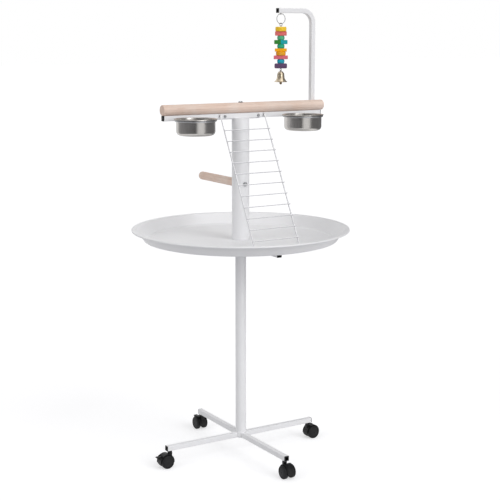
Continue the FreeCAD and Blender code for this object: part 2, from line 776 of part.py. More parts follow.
def across(label, diameter, x, z):
    """A cutter along Y through crossbar and bracket."""
    return cylinder(label, diameter, "6 * crossbar_tube", (x, "-3 * crossbar_tube", z), "Y")


bolt_z = "bar_bottom + bracket_bolt_rise"
bolt_bore = "bolt_diameter + 2 * bolt_slack"
bolt_holes = fuse("bolt_holes",
                  across("bolt_hole_left", bolt_bore, "-bracket_bolt_spacing / 2", bolt_z),
                  across("bolt_hole_right", bolt_bore, "bracket_bolt_spacing / 2", bolt_z))
node(cut("post_bracket", bracket_block, bracket_hollow, perch_bolt_hole, bolt_holes))


# Crossbar with its holes for bolts, bowl studs and ladder hooks.
crossbar_blank = square_tube("crossbar_blank", "-crossbar_left + cap_plate",
                             "crossbar_left + crossbar_right - 2 * cap_plate",
                             "crossbar_tube", "crossbar_tube", "bar_bottom")
stud_holes = fuse("stud_holes",
                  across("stud_hole_left", "stud_diameter + 2 * stud_slack", "-bowl_left", "stud_z"),
                  across("stud_hole_right", "stud_diameter + 2 * stud_slack", "bowl_right", "stud_z"))


def hook_slot(label, x):
    """A slot for one ladder hook in the front wall of the crossbar."""
    return box(label, ("rail_diameter + 2 * slot_side", "bar_back + tube_wall + weld_gap",
                       "rail_diameter + 2 * slot_up"),
               (x + " - rail_diameter / 2 - slot_side", "-crossbar_tube",
                "hook_z - rail_diameter / 2 - slot_up"))


node(cut("crossbar", crossbar_blank, bolt_holes, stud_holes, perch_bolt_hole,
         hook_slot("slot_left", "-ladder_width / 2"), hook_slot("slot_right", "ladder_width / 2")))


def bracket_bolt(label, x):
    """A round-headed bolt through the crossbar, with a nut behind the bracket."""
    shank = cylinder(label + "_shank", "bolt_diameter",
                     "crossbar_tube + bracket_plate + nut_height + bolt_tail",
                     (x, "-bar_back", bolt_z), "Y")
    head = cylinder(label + "_head", "bolt_head", "bolt_head_height", (x, "-bar_back", bolt_z), "-Y")
    return fuse(label, shank, round_rims(label + "_crown", head, "bolt_edge", WAY_Y))


def bracket_nut(label, x):
    return cut(label,
               prism(label + "_blank", "nut_width", "nut_height",
                     (x, "bar_back + bracket_plate", bolt_z), "Y"),
               across(label + "_thread", "bolt_diameter + 2 * weld_gap", x, bolt_z))


node(group("crossbar_bolts", bracket_bolt("bolt_left", "-bracket_bolt_spacing / 2"),
           bracket_bolt("bolt_right", "bracket_bolt_spacing / 2"),
           bracket_nut("nut_left", "-bracket_bolt_spacing / 2"),
           bracket_nut("nut_right", "bracket_bolt_spacing / 2")))


# Perches.
perch_dowel = cylinder("perch_dowel", "perch_diameter", "perch_left + perch_right",
                       ("-perch_left", "0", "perch_middle"), "X")
node(cut("main_perch", round_rims("perch_rounded", perch_dowel, "perch_edge", WAY_X), perch_bolt_hole))
bolt_crown = round_rims("bolt_crown",
                        cylinder("bolt_crown_blank", "perch_bolt_head", "perch_bolt_crown",
                                 ("0", "0", "perch_top")), "bolt_edge", WAY_Z)
long_bolt = fuse("long_bolt", bolt_crown,
                 cylinder("perch_bolt_shank", "perch_bolt_diameter",
                          "perch_top - post_top + perch_nut_height + bolt_tail",
                          ("0", "0", "post_top - perch_nut_height - bolt_tail")))
long_bolt_nut = cut("long_bolt_nut",
                    prism("perch_nut_blank", "perch_nut_width", "perch_nut_height",
                          ("0", "0", "post_top"), "-Z"),
                    cylinder("perch_nut_thread", "perch_bolt_diameter + 2 * weld_gap", "perch_nut_height",
                             ("0", "0", "post_top"), "-Z"))
node(group("perch_bolt", long_bolt, long_bolt_nut))

side_dowel = cylinder("side_dowel", "side_perch_diameter", "side_perch_reach - side_perch_start",
                      ("0", "side_perch_start", "side_perch_z"), "Y")
side_bore = cylinder("side_bore", "perch_bolt_diameter + 2 * weld_gap",
                     "post_diameter / 2 + side_bolt_depth + bolt_end_gap", ("0", "0", "side_perch_z"), "Y")
doc.recompute()
dome_edge = [number for number, edge in enumerate(side_dowel.Shape.Edges, 1)
             if isinstance(edge.Curve, Part.Circle) and edge.Curve.Center.y > mm("side_perch_reach") / 2]
side_domed = add("Part::Fillet", "side_domed")
side_domed.Base = side_dowel
side_domed.Edges = [(number, mm("side_perch_dome"), mm("side_perch_dome")) for number in dome_edge]
node(cut("side_perch", side_domed, side_bore))
side_head = cylinder("side_head", "side_bolt_head", "side_bolt_head_height",
                     ("0", "-post_diameter / 2 - washer_height - weld_gap", "side_perch_z"), "-Y")
side_bolt = fuse("side_bolt",
                 round_rims("side_head_round", side_head, "bolt_edge", WAY_Y),
                 cylinder("side_shank", "perch_bolt_diameter",
                          "post_diameter + washer_height + weld_gap + side_bolt_depth",
                          ("0", "-post_diameter / 2 - washer_height - weld_gap", "side_perch_z"), "Y"))
side_washer = cut("side_washer",
                  cylinder("washer_blank", "washer_diameter", "washer_height",
                           ("0", "-post_diameter / 2 - weld_gap", "side_perch_z"), "-Y"),
                  cylinder("washer_hole", "perch_bolt_diameter + 2 * bolt_slack", "washer_height",
                           ("0", "-post_diameter / 2 - weld_gap", "side_perch_z"), "-Y"))
node(group("side_perch_bolt", side_bolt, side_washer))


# Bowls in their wire rings, with wing nuts behind the crossbar.
bowl_outline = (
    ("0", "0"),
    ("bowl_diameter / 2", "0", "bowl_corner"),
    ("bowl_diameter / 2", "bowl_height - bowl_rim_plate"),
    ("bowl_rim / 2", "bowl_height - bowl_rim_plate"),
    ("bowl_rim / 2", "bowl_height"),
    ("bowl_diameter / 2 - bowl_sheet", "bowl_height"),
    ("bowl_diameter / 2 - bowl_sheet", "bowl_sheet", "bowl_corner - bowl_sheet"),
    ("0", "bowl_sheet"),
)
wing_nuts = []
for side, x in (("left", "-bowl_left"), ("right", "bowl_right")):
    bowl = node(turned("bowl_" + side, bowl_outline))
    place(bowl, (x, "-bowl_out", "bowl_base"))
    ring = torus("ring_" + side, "ring_middle", "ring_wire", (x, "-bowl_out", "ring_z"))
    stud = cylinder("stud_" + side, "stud_diameter",
                    "bowl_out - ring_middle / 2 + bar_back + wing_hub_height + stud_tail",
                    (x, "-bowl_out + ring_middle / 2", "stud_z"), "Y")
    node(fuse("bowl_ring_" + side, ring, stud))
    wing_body = fuse(
        "wing_body_" + side,
        cylinder("wing_hub_" + side, "wing_hub", "wing_hub_height", (x, "bar_back", "stud_z"), "Y"),
        rounded("wing_" + side,
                box("wing_plate_" + side, ("wing_span", "wing_height", "wing_plate"),
                    (x + " - wing_span / 2", "bar_back + wing_stand_off", "stud_z - wing_plate / 2")),
                "wing_edge"))
    wing_nuts.append(cut("wing_nut_" + side, wing_body,
                         across("wing_thread_" + side, "stud_diameter + 2 * weld_gap", x, "stud_z")))
node(group("wing_nuts", *wing_nuts))


# Ladder: two hooked rails and the rungs in front of them.
rails = []
for side, sign in (("left", -1), ("right", 1)):
    x = sign * mm("ladder_width") / 2
    rails.append(bent_rod("rail_" + side, mm("rail_diameter"), (
        FreeCAD.Vector(x, mm("rail_peg") - mm("bar_back"), mm("hook_z")),
        FreeCAD.Vector(x, -mm("hook_y"), mm("hook_z")),
        FreeCAD.Vector(x, -mm("ladder_foot"), mm("foot_z"))), mm("rail_bend")))
node(group("ladder_rails", *rails))
rungs = []
for step in range(11):
    run = "(rung_first + rung_pitch * %d)" % step
    rungs.append(cylinder("rung_%02d" % (step + 1), "rung_diameter",
                          "ladder_width + rail_diameter + 2 * rung_overhang",
                          ("-ladder_width / 2 - rail_diameter / 2 - rung_overhang",
                           "-hook_y - %s * sin(ladder_lean) - rung_off * cos(ladder_lean)" % run,
                           "hook_z - %s * cos(ladder_lean) + rung_off * sin(ladder_lean)" % run), "X"))
node(group("ladder_rungs", *rungs))


# Toy arm in its socket behind the crossbar.
socket_block = fuse(
    "socket_block",
    cylinder("socket_round", "socket_outer", "socket_height", ("arm_x", "arm_y", "socket_base")),
    box("socket_web", ("socket_web", "arm_y - bar_back", "crossbar_tube"),
        ("arm_x - socket_web / 2", "bar_back", "bar_bottom")))
socket_bore = cylinder("socket_hole", "socket_bore", "socket_height",
                       ("arm_x", "arm_y", "socket_base + socket_floor"))
thumb_z = "socket_base + thumb_rise"
thumb_hole = cylinder("thumb_hole", "thumb_diameter + 2 * weld_gap", "socket_outer",
                      ("arm_x", "arm_y", thumb_z), "Y")
node(cut("arm_socket", socket_block, socket_bore, thumb_hole))
knob_start = "arm_y + socket_outer / 2 + thumb_neck"
node(fuse("arm_thumbscrew",
          cylinder("thumb_screw", "thumb_diameter", "socket_outer / 2 - arm_spigot / 2 + thumb_neck",
                   ("arm_x", "arm_y + arm_spigot / 2 + seat_gap", thumb_z), "Y"),
          round_rims("thumb_knob_round",
                     cylinder("thumb_knob_blank", "thumb_knob", "thumb_knob_height",
                              ("arm_x", knob_start, thumb_z), "Y"), "thumb_edge", WAY_Y)))

# The arm is a bent square tube; a sole closes its foot and carries the round spigot that turns in the socket.
arm_corners = (FreeCAD.Vector(mm("arm_x"), mm("arm_y"), mm("arm_foot")),
               FreeCAD.Vector(mm("arm_x"), mm("arm_y"), mm("arm_top")),
               FreeCAD.Vector(mm("arm_tip") + mm("cap_plate"), mm("arm_y"), mm("arm_top")))
arm_bore = mm("arm_tube") - 2 * mm("arm_wall")
arm_shell = cut("arm_shell",
                bent_rod("arm_outside", mm("arm_tube"), arm_corners, mm("arm_bend"), mm("tube_corner")),
                bent_rod("arm_inside", arm_bore, arm_corners, mm("arm_bend"), mm("tube_corner") / 2))
arm_sole = box("arm_sole_plate", ("arm_tube - arm_wall", "arm_tube - arm_wall", "arm_sole"),
               ("arm_x - arm_tube / 2 + arm_wall / 2", "arm_y - arm_tube / 2 + arm_wall / 2", "arm_foot"))
arm_pin = cylinder("arm_pin", "arm_spigot", "arm_foot + arm_sole / 2 - spigot_foot",
                   ("arm_x", "arm_y", "spigot_foot"))
node(fuse("toy_arm", arm_shell, arm_sole, arm_pin))
arm_side = "arm_y - arm_tube / 2"
arm_under = "arm_top - arm_tube / 2"
cap_step = "arm_wall + cap_slack"
node(fuse("toy_arm_cap",
          rounded("arm_cap_plate", box("arm_cap_face", ("cap_plate", "arm_tube", "arm_tube"),
                                       ("arm_tip", arm_side, arm_under)), "tube_corner", WAY_X),
          rounded("arm_cap_plug",
                  box("arm_cap_core", ("cap_plug + cap_plate / 2", "arm_tube - 2 * (%s)" % cap_step,
                                       "arm_tube - 2 * (%s)" % cap_step),
                      ("arm_tip + cap_plate / 2", arm_side + " + " + cap_step, arm_under + " + " + cap_step)),
                  "tube_corner", WAY_X)))
node(cut("toy_arm_loop",
         torus("loop_wire", "loop_ring", "toy_wire", ("toy_x", "arm_y", "loop_z + loop_ring / 2"), "X"),
         box("loop_trim", ("2 * loop_diameter", "arm_tube", "arm_tube"),
             ("toy_x - loop_diameter", arm_side, arm_under + " - weld_gap"))))


# Toy: ring, rod with two eyes, and the stack of blocks.
node(torus("toy_ring", "toy_ring_middle", "toy_wire", ("toy_x", "arm_y", "toy_ring_z"), "Y"))
upper_eye = torus("upper_eye", "upper_eye_ring", "eye_wire", ("toy_x", "arm_y", "upper_eye_z"), "X")
upper_eye.Placement.Rotation = FreeCAD.Rotation(WAY_Z, 45).multiply(TURN["X"])
lower_eye = torus("lower_eye", "lower_eye_ring", "eye_wire", ("toy_x", "arm_y", "lower_eye_z"), "Y")
rod_wire = cylinder("rod_wire", "eye_wire",
                    "upper_eye_z - upper_eye_ring / 2 - lower_eye_z - lower_eye_ring / 2",
                    ("toy_x", "arm_y", "lower_eye_z + lower_eye_ring / 2"))
node(fuse("toy_rod", upper_eye, rod_wire, lower_eye))


def toy_hole(name):
    return cylinder(name + "_hole", "toy_bore", name + "_height", ("0", "0", name + "_base"))


def hang(thing):
    """Moves a piece of the toy from the middle to the rod, and turns it to the front of the stand."""
    thing.Placement = FreeCAD.Placement(FreeCAD.Vector(), FreeCAD.Rotation(WAY_Z, -mm("toy_turn")))
    bind(thing, "Placement.Base.x", "toy_x")
    bind(thing, "Placement.Base.y", "arm_y")
    return thing


def toy_block(name, edge="block_edge"):
    """A wooden block with rounded edges, bored for the rod."""
    blank = box(name + "_blank", (name + "_length", name + "_depth", name + "_height"),
                ("-%s_length / 2" % name, "-%s_depth / 2" % name, name + "_base"))
    return node(hang(cut("block_" + name, rounded(name + "_rounded", blank, edge), toy_hole(name))))


def toy_disc(name):
    """A wooden disc with rounded rims, bored for the rod."""
    blank = cylinder(name + "_blank", name + "_diameter", name + "_height", ("0", "0", name + "_base"))
    smooth = round_rims(name + "_rounded", blank, "disc_edge", WAY_Z)
    return node(hang(cut("disc_" + name, smooth, toy_hole(name))))


toy_disc("yellow")
toy_disc("orange")
for name in ("coral", "twotone", "amber", "pink"):
    toy_block(name)
toy_block("purple", "purple_edge")

beads = []
for name in ("bead_one", "bead_two", "bead_three"):
    bead = turned(name, (
        ("toy_bore / 2", "0"),
        ("bead_end / 2", "0"),
        ("bead_diameter / 2", "bead_height / 4", "bead_shoulder"),
        ("bead_diameter / 2", "bead_height * 3 / 4", "bead_shoulder"),
        ("bead_end / 2", "bead_height"),
        ("toy_bore / 2", "bead_height"),
    ))
    place(bead, ("toy_x", "arm_y", name + "_base"))
    beads.append(bead)
node(group("toy_beads", *beads))


# Bell on the lower eye, with its clapper on a hanger under the crown.
bell_cup = turned("bell_cup", (
    ("0", "bell_height"),
    ("bell_crown / 2", "bell_height", "bell_sheet"),
    ("bell_shoulder / 2", "bell_shoulder_rise", "bell_shoulder / 4"),
    ("bell_waist / 2", "bell_waist_rise", "bell_shoulder / 2"),
    ("bell_mouth / 2", "0"),
    ("bell_mouth / 2 - bell_lip", "0"),
    ("bell_waist / 2 - bell_sheet", "bell_waist_rise", "bell_shoulder / 2"),
    ("bell_shoulder / 2 - bell_shoulder_wall", "bell_shoulder_rise - bell_sheet / 2", "bell_shoulder / 6"),
    ("bell_crown / 2 - bell_sheet / 2", "bell_height - bell_sheet"),
    ("0", "bell_height - bell_sheet"),
))
place(bell_cup, ("toy_x", "arm_y", "bell_base"))
bell_loop = cut("bell_loop",
                torus("bell_loop_ring", "bell_loop_ring", "bell_loop_wire",
                      ("toy_x", "arm_y", "bell_loop_z"), "X"),
                cylinder("bell_loop_trim", "bell_crown", "bell_height",
                         ("toy_x", "arm_y", "bell_top - bell_sheet / 2"), "-Z"))
hanger = cut("hanger",
             torus("hanger_ring", "hanger_ring", "clapper_wire", ("toy_x", "arm_y", "hanger_z"), "X"),
             cylinder("hanger_trim", "bell_crown", "bell_height",
                      ("toy_x", "arm_y", "bell_top - bell_sheet / 2")))
node(fuse("bell", bell_cup, bell_loop, hanger))
clapper_ball = add("Part::Sphere", "clapper_end")
bind(clapper_ball, "Radius", "clapper_ball / 2")
place(clapper_ball, ("toy_x", "arm_y", "clapper_pivot - clapper_drop"))
node(fuse("clapper", clapper_ball,
          cylinder("clapper_stem", "clapper_wire",
                   "clapper_eye_z - hanger_ring / 2 - clapper_pivot + clapper_drop",
                   ("toy_x", "arm_y", "clapper_pivot - clapper_drop")),
          torus("clapper_eye", "hanger_ring", "clapper_wire", ("toy_x", "arm_y", "clapper_eye_z"), "Y")))

doc.recompute()
for thing in doc.Objects:
    if "Invalid" in thing.State or "Error" in thing.State:
        raise RuntimeError("not solved: " + thing.Label)
for thing in nodes:
    if thing.Shape.isNull() or not thing.Shape.isValid():
        raise RuntimeError("bad shape: " + thing.Label)
os.makedirs("parts", exist_ok=True)
for thing in nodes:
    thing.Shape.exportStep("parts/" + thing.Label + ".step")
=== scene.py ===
import math

import bmesh
import bpy
from mathutils import Matrix, Vector


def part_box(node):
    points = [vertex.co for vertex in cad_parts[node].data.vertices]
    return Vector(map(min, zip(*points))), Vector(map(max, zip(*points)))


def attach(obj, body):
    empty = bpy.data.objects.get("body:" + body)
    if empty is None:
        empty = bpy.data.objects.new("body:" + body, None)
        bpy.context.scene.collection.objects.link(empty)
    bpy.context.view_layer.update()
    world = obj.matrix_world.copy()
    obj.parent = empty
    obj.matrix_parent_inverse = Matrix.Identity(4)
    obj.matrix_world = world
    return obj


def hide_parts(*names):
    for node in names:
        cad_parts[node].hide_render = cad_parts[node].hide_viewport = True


bl_info = {
    "name": "Rolling Play Stand",
    "version": (1, 0, 0),
    "blender": (4, 5, 0),
    "location": "View3D > Sidebar > Play Stand",
    "description": "Dresses a rolling play stand with finished pieces and materials",
    "category": "Object",
}

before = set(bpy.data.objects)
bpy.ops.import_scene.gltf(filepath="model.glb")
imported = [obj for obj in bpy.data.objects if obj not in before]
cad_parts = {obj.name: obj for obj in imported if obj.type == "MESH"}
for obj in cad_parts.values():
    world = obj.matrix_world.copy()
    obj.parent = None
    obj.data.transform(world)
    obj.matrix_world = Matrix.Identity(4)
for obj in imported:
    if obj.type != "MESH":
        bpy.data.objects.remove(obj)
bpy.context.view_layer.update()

MM = 0.001
SIDES = {"left": 180, "right": 0, "front": 270, "back": 90}
STEM_OUT = 243 * MM
WHEEL_RADIUS = 20 * MM
HOOD_RADIUS = 23 * MM


def mm(*values):
    """Lengths in metres from millimetres."""
    return tuple(value * MM for value in values)


# ---------------------------------------------------------------- colours and nodes


def linear(code):
    """Turns an sRGB hex colour into the linear values that a shader reads."""
    values = []
    for start in (1, 3, 5):
        share = int(code[start:start + 2], 16) / 255
        values.append(share / 12.92 if share <= 0.04045 else ((share + 0.055) / 1.055) ** 2.4)
    return (*values, 1.0)


def tone(colour, share):
    """The same colour with more or less light in it."""
    return (colour[0] * share, colour[1] * share, colour[2] * share, 1.0)


def add_node(tree, kind, settings=None, links=None):
    """Adds one node, sets its properties and sockets, and links its sockets to outputs of other nodes."""
    new = tree.nodes.new(kind)
    for name, value in (settings or {}).items():
        if name == "stops":
            ramp = new.color_ramp.elements
            while len(ramp) < len(value):
                ramp.new(0.5)
            for stop, (position, colour) in zip(ramp, value):
                stop.position = position
                stop.color = colour
        elif isinstance(name, int) or name in new.inputs:
            new.inputs[name].default_value = value
        else:
            setattr(new, name, value)
    for name, source in (links or {}).items():
        tree.links.new(source, new.inputs[name])
    return new


def noise(tree, where, width, detail, **settings):
    """A noise with blotches about this wide."""
    settings = {"Scale": 1.0 / width, "Detail": detail, **settings}
    return add_node(tree, "ShaderNodeTexNoise", settings, {"Vector": where}).outputs["Fac"]


def pebbles(tree, where, width):
    """Small round marks about this wide."""
    return add_node(tree, "ShaderNodeTexVoronoi", {"Scale": 1.0 / width}, {"Vector": where}).outputs["Distance"]


def ramp(tree, value, *stops):
    """The colour that a value picks between stops of (value, colour)."""
    return add_node(tree, "ShaderNodeValToRGB", {"stops": stops}, {"Fac": value}).outputs["Color"]


def span(tree, value, low, high, first=0.0, last=1.0):
    """Goes from first to last while the value goes from low to high."""
    ends = {"From Min": low, "From Max": high, "To Min": first, "To Max": last}
    return add_node(tree, "ShaderNodeMapRange", ends, {"Value": value}).outputs["Result"]


def multiply(tree, share, one, other):
    """A colour, in part multiplied by another."""
    return add_node(tree, "ShaderNodeMix", {"data_type": "RGBA", "blend_type": "MULTIPLY", 0: share},
                    {6: one, 7: other}).outputs[2]


def start_material(name):
    """A new material, its nodes and the place on the object in metres."""
    material = bpy.data.materials.new(name)
    material.use_nodes = True
    tree = material.node_tree
    return material, tree, add_node(tree, "ShaderNodeTexCoord").outputs["Object"]


def end_material(material, colour, roughness, height, strength, depth, values=None, links=None):
    """Joins colour, roughness and the bump of a height to the shader, and what else it is given."""
    tree = material.node_tree
    shader = tree.nodes["Principled BSDF"]
    skin = add_node(tree, "ShaderNodeBump", {"Strength": strength, "Distance": depth}, {"Height": height})
    sources = {"Base Color": colour, "Roughness": roughness, "Normal": skin.outputs["Normal"], **(links or {})}
    for socket, source in sources.items():
        tree.links.new(source, shader.inputs[socket])
    for socket, value in (values or {}).items():
        shader.inputs[socket].default_value = value
    return material


# ---------------------------------------------------------------- settings


def length(label, about, millimetres):
    return bpy.props.FloatProperty(name=label, description=about, default=millimetres * MM, unit="LENGTH")


def length_pair(label, about, *millimetres):
    return bpy.props.FloatVectorProperty(name=label, description=about, size=2, default=mm(*millimetres),
                                         unit="LENGTH")


def angle(label, about, degrees):
    return bpy.props.FloatProperty(name=label, description=about, default=math.radians(degrees), subtype="ANGLE")


def paint(label, about, code):
    return bpy.props.FloatVectorProperty(name=label, description=about, subtype="COLOR", size=4, min=0.0, max=1.0,
                                         default=linear(code))


class StandSizes(bpy.types.PropertyGroup):
    """Sizes of the finished pieces that the frame does not fix."""

    turn_steps: bpy.props.IntProperty(
        name="Turning steps", description="Flat steps in a full turn of a turned piece",
        default=96, min=24, max=192)
    tray_flare: length("Tray flare", "How far the tray wall leans out from floor to lip edge", 37.0)
    tray_lip: length("Tray lip", "Width of the flat lip round the tray", 15.0)
    tray_hem: length("Tray hem", "How far the edge of the lip is folded down", 4.2)
    tray_sheet: length("Tray sheet", "Thickness of the tray sheet", 2.0)
    tray_step: length("Tray step", "Rise of the pressed step at the foot of the tray wall", 2.5)
    tray_step_width: length("Tray step width", "Width of the pressed step", 10.0)
    tube_wall: length("Tube wall", "Wall of the round steel tubes", 1.4)
    perch_edge: length("Perch edge", "Sanded rounding of the perch ends", 1.8)
    side_perch_dome: length("Side perch dome", "Rounding of the free end of the side perch", 9.0)
    bowl_corner: length("Bowl corner", "Rounding between wall and floor of a bowl", 12.0)
    bowl_flange: length("Bowl flange", "Width of the rolled rim that hangs on the wire ring", 6.0)
    bowl_sheet: length("Bowl sheet", "Thickness of the bowl sheet", 1.0)
    ladder_hook_height: length("Ladder hook height", "Height of the ladder hooks", 1021.0)
    ladder_hook_out: length("Ladder hook stand-off", "How far in front of the middle the rails bend down", 13.5)
    ladder_foot_out: length("Ladder foot", "How far in front of the middle the rails end", 203.0)
    ladder_foot_height: length("Ladder foot height", "Height of the rail ends", 658.4)
    rail_bend: length("Rail bend", "Bend radius at the top of the ladder rails", 5.0)
    rung_count: bpy.props.IntProperty(
        name="Rungs", description="Number of ladder rungs", default=11, min=2, max=20)
    arm_bend: length("Arm bend", "Bend radius of the toy arm", 36.0)
    block_edge: length("Block edge", "Rounding of the toy blocks", 1.6)
    coral_block: length_pair("Coral block", "Length and depth of the upper red block", 34.3, 20.0)
    twotone_block: length_pair("Two-tone block", "Length and depth of the green and teal block", 39.2, 18.0)
    amber_block: length_pair("Amber block", "Length and depth of the amber block", 35.3, 20.0)
    pink_block: length_pair("Pink block", "Length and depth of the lower red block", 41.8, 22.0)
    purple_block: length_pair("Purple block", "Length and depth of the lowest block", 37.2, 20.0)
    toy_turn: angle("Toy turn", "How far the blocks are turned about the wire", -33.0)
    arm_corner: length("Arm corner", "Rounding of the corners of the square arm tube", 1.6)
    caster_trail: length("Caster trail", "How far the wheels stand behind the swivel stem", 14.0)
    brake_rise: angle("Brake height", "How far up the hood the brake lever turns", 42.0)


class StandColours(bpy.types.PropertyGroup):
    """Colours of the finishes."""

    coat: paint("Powder coat", "Colour of the coated steel", "#F1F1F3")
    # The ladder wire has two colours: its white coat, and a grey painted shade for its steep and lower sides.
    wire: paint("Ladder wire", "Colour of the upper sides of the ladder wire", "#F4F4F6")
    wire_painted_shade: paint("Ladder wire, painted shade", "Painted shade on the steep and lower sides of the ladder wire", "#C8C8CC")
    moulded: paint("Moulded black", "Colour of caps, casters and levers", "#141415")
    wheel: paint("Wheel black", "Colour of the caster wheels", "#19191A")
    dowel: paint("Dowel wood", "Colour of the bare perches", "#EBD7CA")
    steel: paint("Bowl steel", "Colour of the brushed bowls", "#C6C3BF")
    zinc: paint("Zinc plate", "Colour of bolts and wire", "#B9BABD")
    bell: paint("Bell metal", "Colour of the bell", "#D4C5AC")
    clapper: paint("Clapper metal", "Colour of the clapper", "#8E7A5C")
    yellow: paint("Yellow stain", "Colour of the top disc", "#F9CD31")
    coral: paint("Coral stain", "Colour of the upper red block", "#E46E6F")
    green: paint("Green stain", "Colour of the upper bead", "#4FB585")
    leaf: paint("Leaf stain", "Green half of the two-tone block", "#2E8A30")
    teal: paint("Teal stain", "Teal half of the two-tone block", "#08A8B0")
    jade: paint("Jade stain", "Colour of the middle bead", "#1FAE84")
    amber: paint("Amber stain", "Colour of the amber block", "#FFB20A")
    orange: paint("Orange stain", "Colour of the lower disc", "#EBA516")
    pink: paint("Pink stain", "Colour of the lower red block", "#E27080")
    blue: paint("Blue stain", "Colour of the lower bead", "#0AA6C0")
    purple: paint("Purple stain", "Colour of the lowest block", "#62486D")


# ---------------------------------------------------------------- finishes


DULL = {"Specular IOR Level": 0.25}
METAL = {"Metallic": 1.0}


def powder_coat(name):
    """Polyester powder, sprayed on steel and baked."""
    # The eye sees an even white with a soft sheen and a fine orange-peel skin. The peel of a real coat is
    # about 1 mm wide; it is drawn 3 mm wide so that it shows.
    colour = bpy.context.scene.stand_colours.coat
    material, tree, where = start_material(name)
    peel = noise(tree, where, 3.0 * MM, 2.0, Roughness=0.45)
    drift = noise(tree, where, 80.0 * MM, 3.0)
    white = ramp(tree, drift, (0.3, tone(colour, 0.965)), (0.7, colour))
    sheen = span(tree, peel, 0.3, 0.7, 0.34, 0.46)
    return end_material(material, white, sheen, peel, 0.3, 0.05 * MM)


def sprayed_wire(name):
    """Steel wire, sprayed white, with painted shade on its steep and lower sides."""
    # The eye sees thin bright lines with a grey lower side. The grey is painted shade, laid on where the wire
    # faces sideways or down.
    colours = bpy.context.scene.stand_colours
    material, tree, where = start_material(name)
    run = noise(tree, where, 9.0 * MM, 3.0)
    facing = add_node(tree, "ShaderNodeTexCoord").outputs["Normal"]
    upward = add_node(tree, "ShaderNodeSeparateXYZ", None, {"Vector": facing}).outputs["Z"]
    # Painted shade: the white turns to the grey as the wire faces away from straight up.
    white = ramp(tree, span(tree, upward, 0.0, 0.45), (0.0, colours.wire_painted_shade), (1.0, colours.wire))
    gloss = span(tree, run, 0.3, 0.7, 0.2, 0.3)
    return end_material(material, white, gloss, run, 0.15, 0.05 * MM)


def moulded_plastic(name):
    """ABS, moulded in a spark-eroded tool."""
    # The eye sees a deep black with a dull, slightly pebbled skin and greyer rubbed spots.
    colour = bpy.context.scene.stand_colours.moulded
    material, tree, where = start_material(name)
    rubbed = noise(tree, where, 11.0 * MM, 4.0, Roughness=0.6)
    black = ramp(tree, rubbed, (0.35, tone(colour, 0.75)), (0.6, colour), (0.85, tone(colour, 1.9)))
    dull = span(tree, rubbed, 0.3, 0.75, 0.36, 0.54)
    return end_material(material, black, dull, pebbles(tree, where, 1.4 * MM), 0.25, 0.06 * MM, DULL)


def wheel_nylon(name):
    """Nylon, moulded and then scuffed by the floor."""
    # The eye sees a dark grey black, duller than the housings, with pale dusty scuffs.
    colour = bpy.context.scene.stand_colours.wheel
    material, tree, where = start_material(name)
    scuff = noise(tree, where, 4.0 * MM, 5.0, Roughness=0.65, Distortion=0.8)
    black = ramp(tree, scuff, (0.3, tone(colour, 0.8)), (0.58, colour), (0.78, tone(colour, 2.1)))
    dull = span(tree, scuff, 0.3, 0.75, 0.42, 0.62)
    return end_material(material, black, dull, scuff, 0.2, 0.08 * MM, DULL)


def sanded_dowel(name, along, pith):
    """Pale hardwood, turned to a dowel, sanded and left bare."""
    # The eye sees a pinkish beige with long soft growth bands, thin fibre lines and short pores along the
    # dowel, and the same bands as arcs on its ends. The bands lie round a pith beside the dowel.
    colour = bpy.context.scene.stand_colours.dowel
    plain = linear("#FFFFFF")
    band = 6.5 * MM
    material, tree, where = start_material(name)
    stretch = (0.05, 1.0, 1.0) if along == "X" else (1.0, 0.05, 1.0)
    board = add_node(tree, "ShaderNodeMapping", {"Location": pith, "Scale": stretch},
                     {"Vector": where}).outputs["Vector"]
    bands = add_node(tree, "ShaderNodeTexWave",
                     {"wave_type": "RINGS", "rings_direction": along, "wave_profile": "SAW",
                      "Scale": math.pi / 10.0 / band, "Distortion": 3.2, "Detail": 2.0, "Detail Scale": 1.1},
                     {"Vector": board}).outputs["Fac"]
    fibre = noise(tree, board, 1.6 * MM, 3.0, Roughness=0.6)
    patch = noise(tree, where, 45.0 * MM, 2.0)
    growth = ramp(tree, bands, (0.0, tone(colour, 1.02)), (0.6, colour), (0.92, tone(colour, 0.91)),
                  (1.0, tone(colour, 0.96)))
    lines = ramp(tree, fibre, (0.28, linear("#DDC8BB")), (0.5, plain))
    blush = ramp(tree, patch, (0.35, linear("#F4E2D8")), (0.65, plain))
    wood = multiply(tree, 0.4, multiply(tree, 0.45, growth, lines), blush)
    dry = span(tree, fibre, 0.25, 0.7, 0.72, 0.56)
    return end_material(material, wood, dry, fibre, 0.35, 0.12 * MM)


def stained_wood(name, colour):
    """Soft wood, cut to blocks and beads, dipped in stain."""
    # The eye sees a strong colour with streaks along the fibres, paler where the stain soaked in less.
    turn = bpy.context.scene.stand_sizes.toy_turn
    material, tree, where = start_material(name)
    board = add_node(tree, "ShaderNodeMapping",
                     {"vector_type": "TEXTURE", "Rotation": (0.0, 0.0, turn), "Scale": (6.0, 1.0, 1.0)},
                     {"Vector": where}).outputs["Vector"]
    fibre = noise(tree, board, 2.6 * MM, 4.0, Roughness=0.6, Distortion=0.4)
    soaked = noise(tree, where, 9.0 * MM, 3.0)
    streaks = ramp(tree, fibre, (0.28, tone(colour, 0.8)), (0.5, colour), (0.75, tone(colour, 1.12)))
    stain = add_node(tree, "ShaderNodeMix", {"data_type": "RGBA", 7: linear("#E8D3A8")},
                     {0: span(tree, soaked, 0.5, 0.85, 0.0, 0.14), 6: streaks}).outputs[2]
    dull = span(tree, fibre, 0.3, 0.7, 0.62, 0.48)
    return end_material(material, stain, dull, fibre, 0.3, 0.12 * MM, DULL)


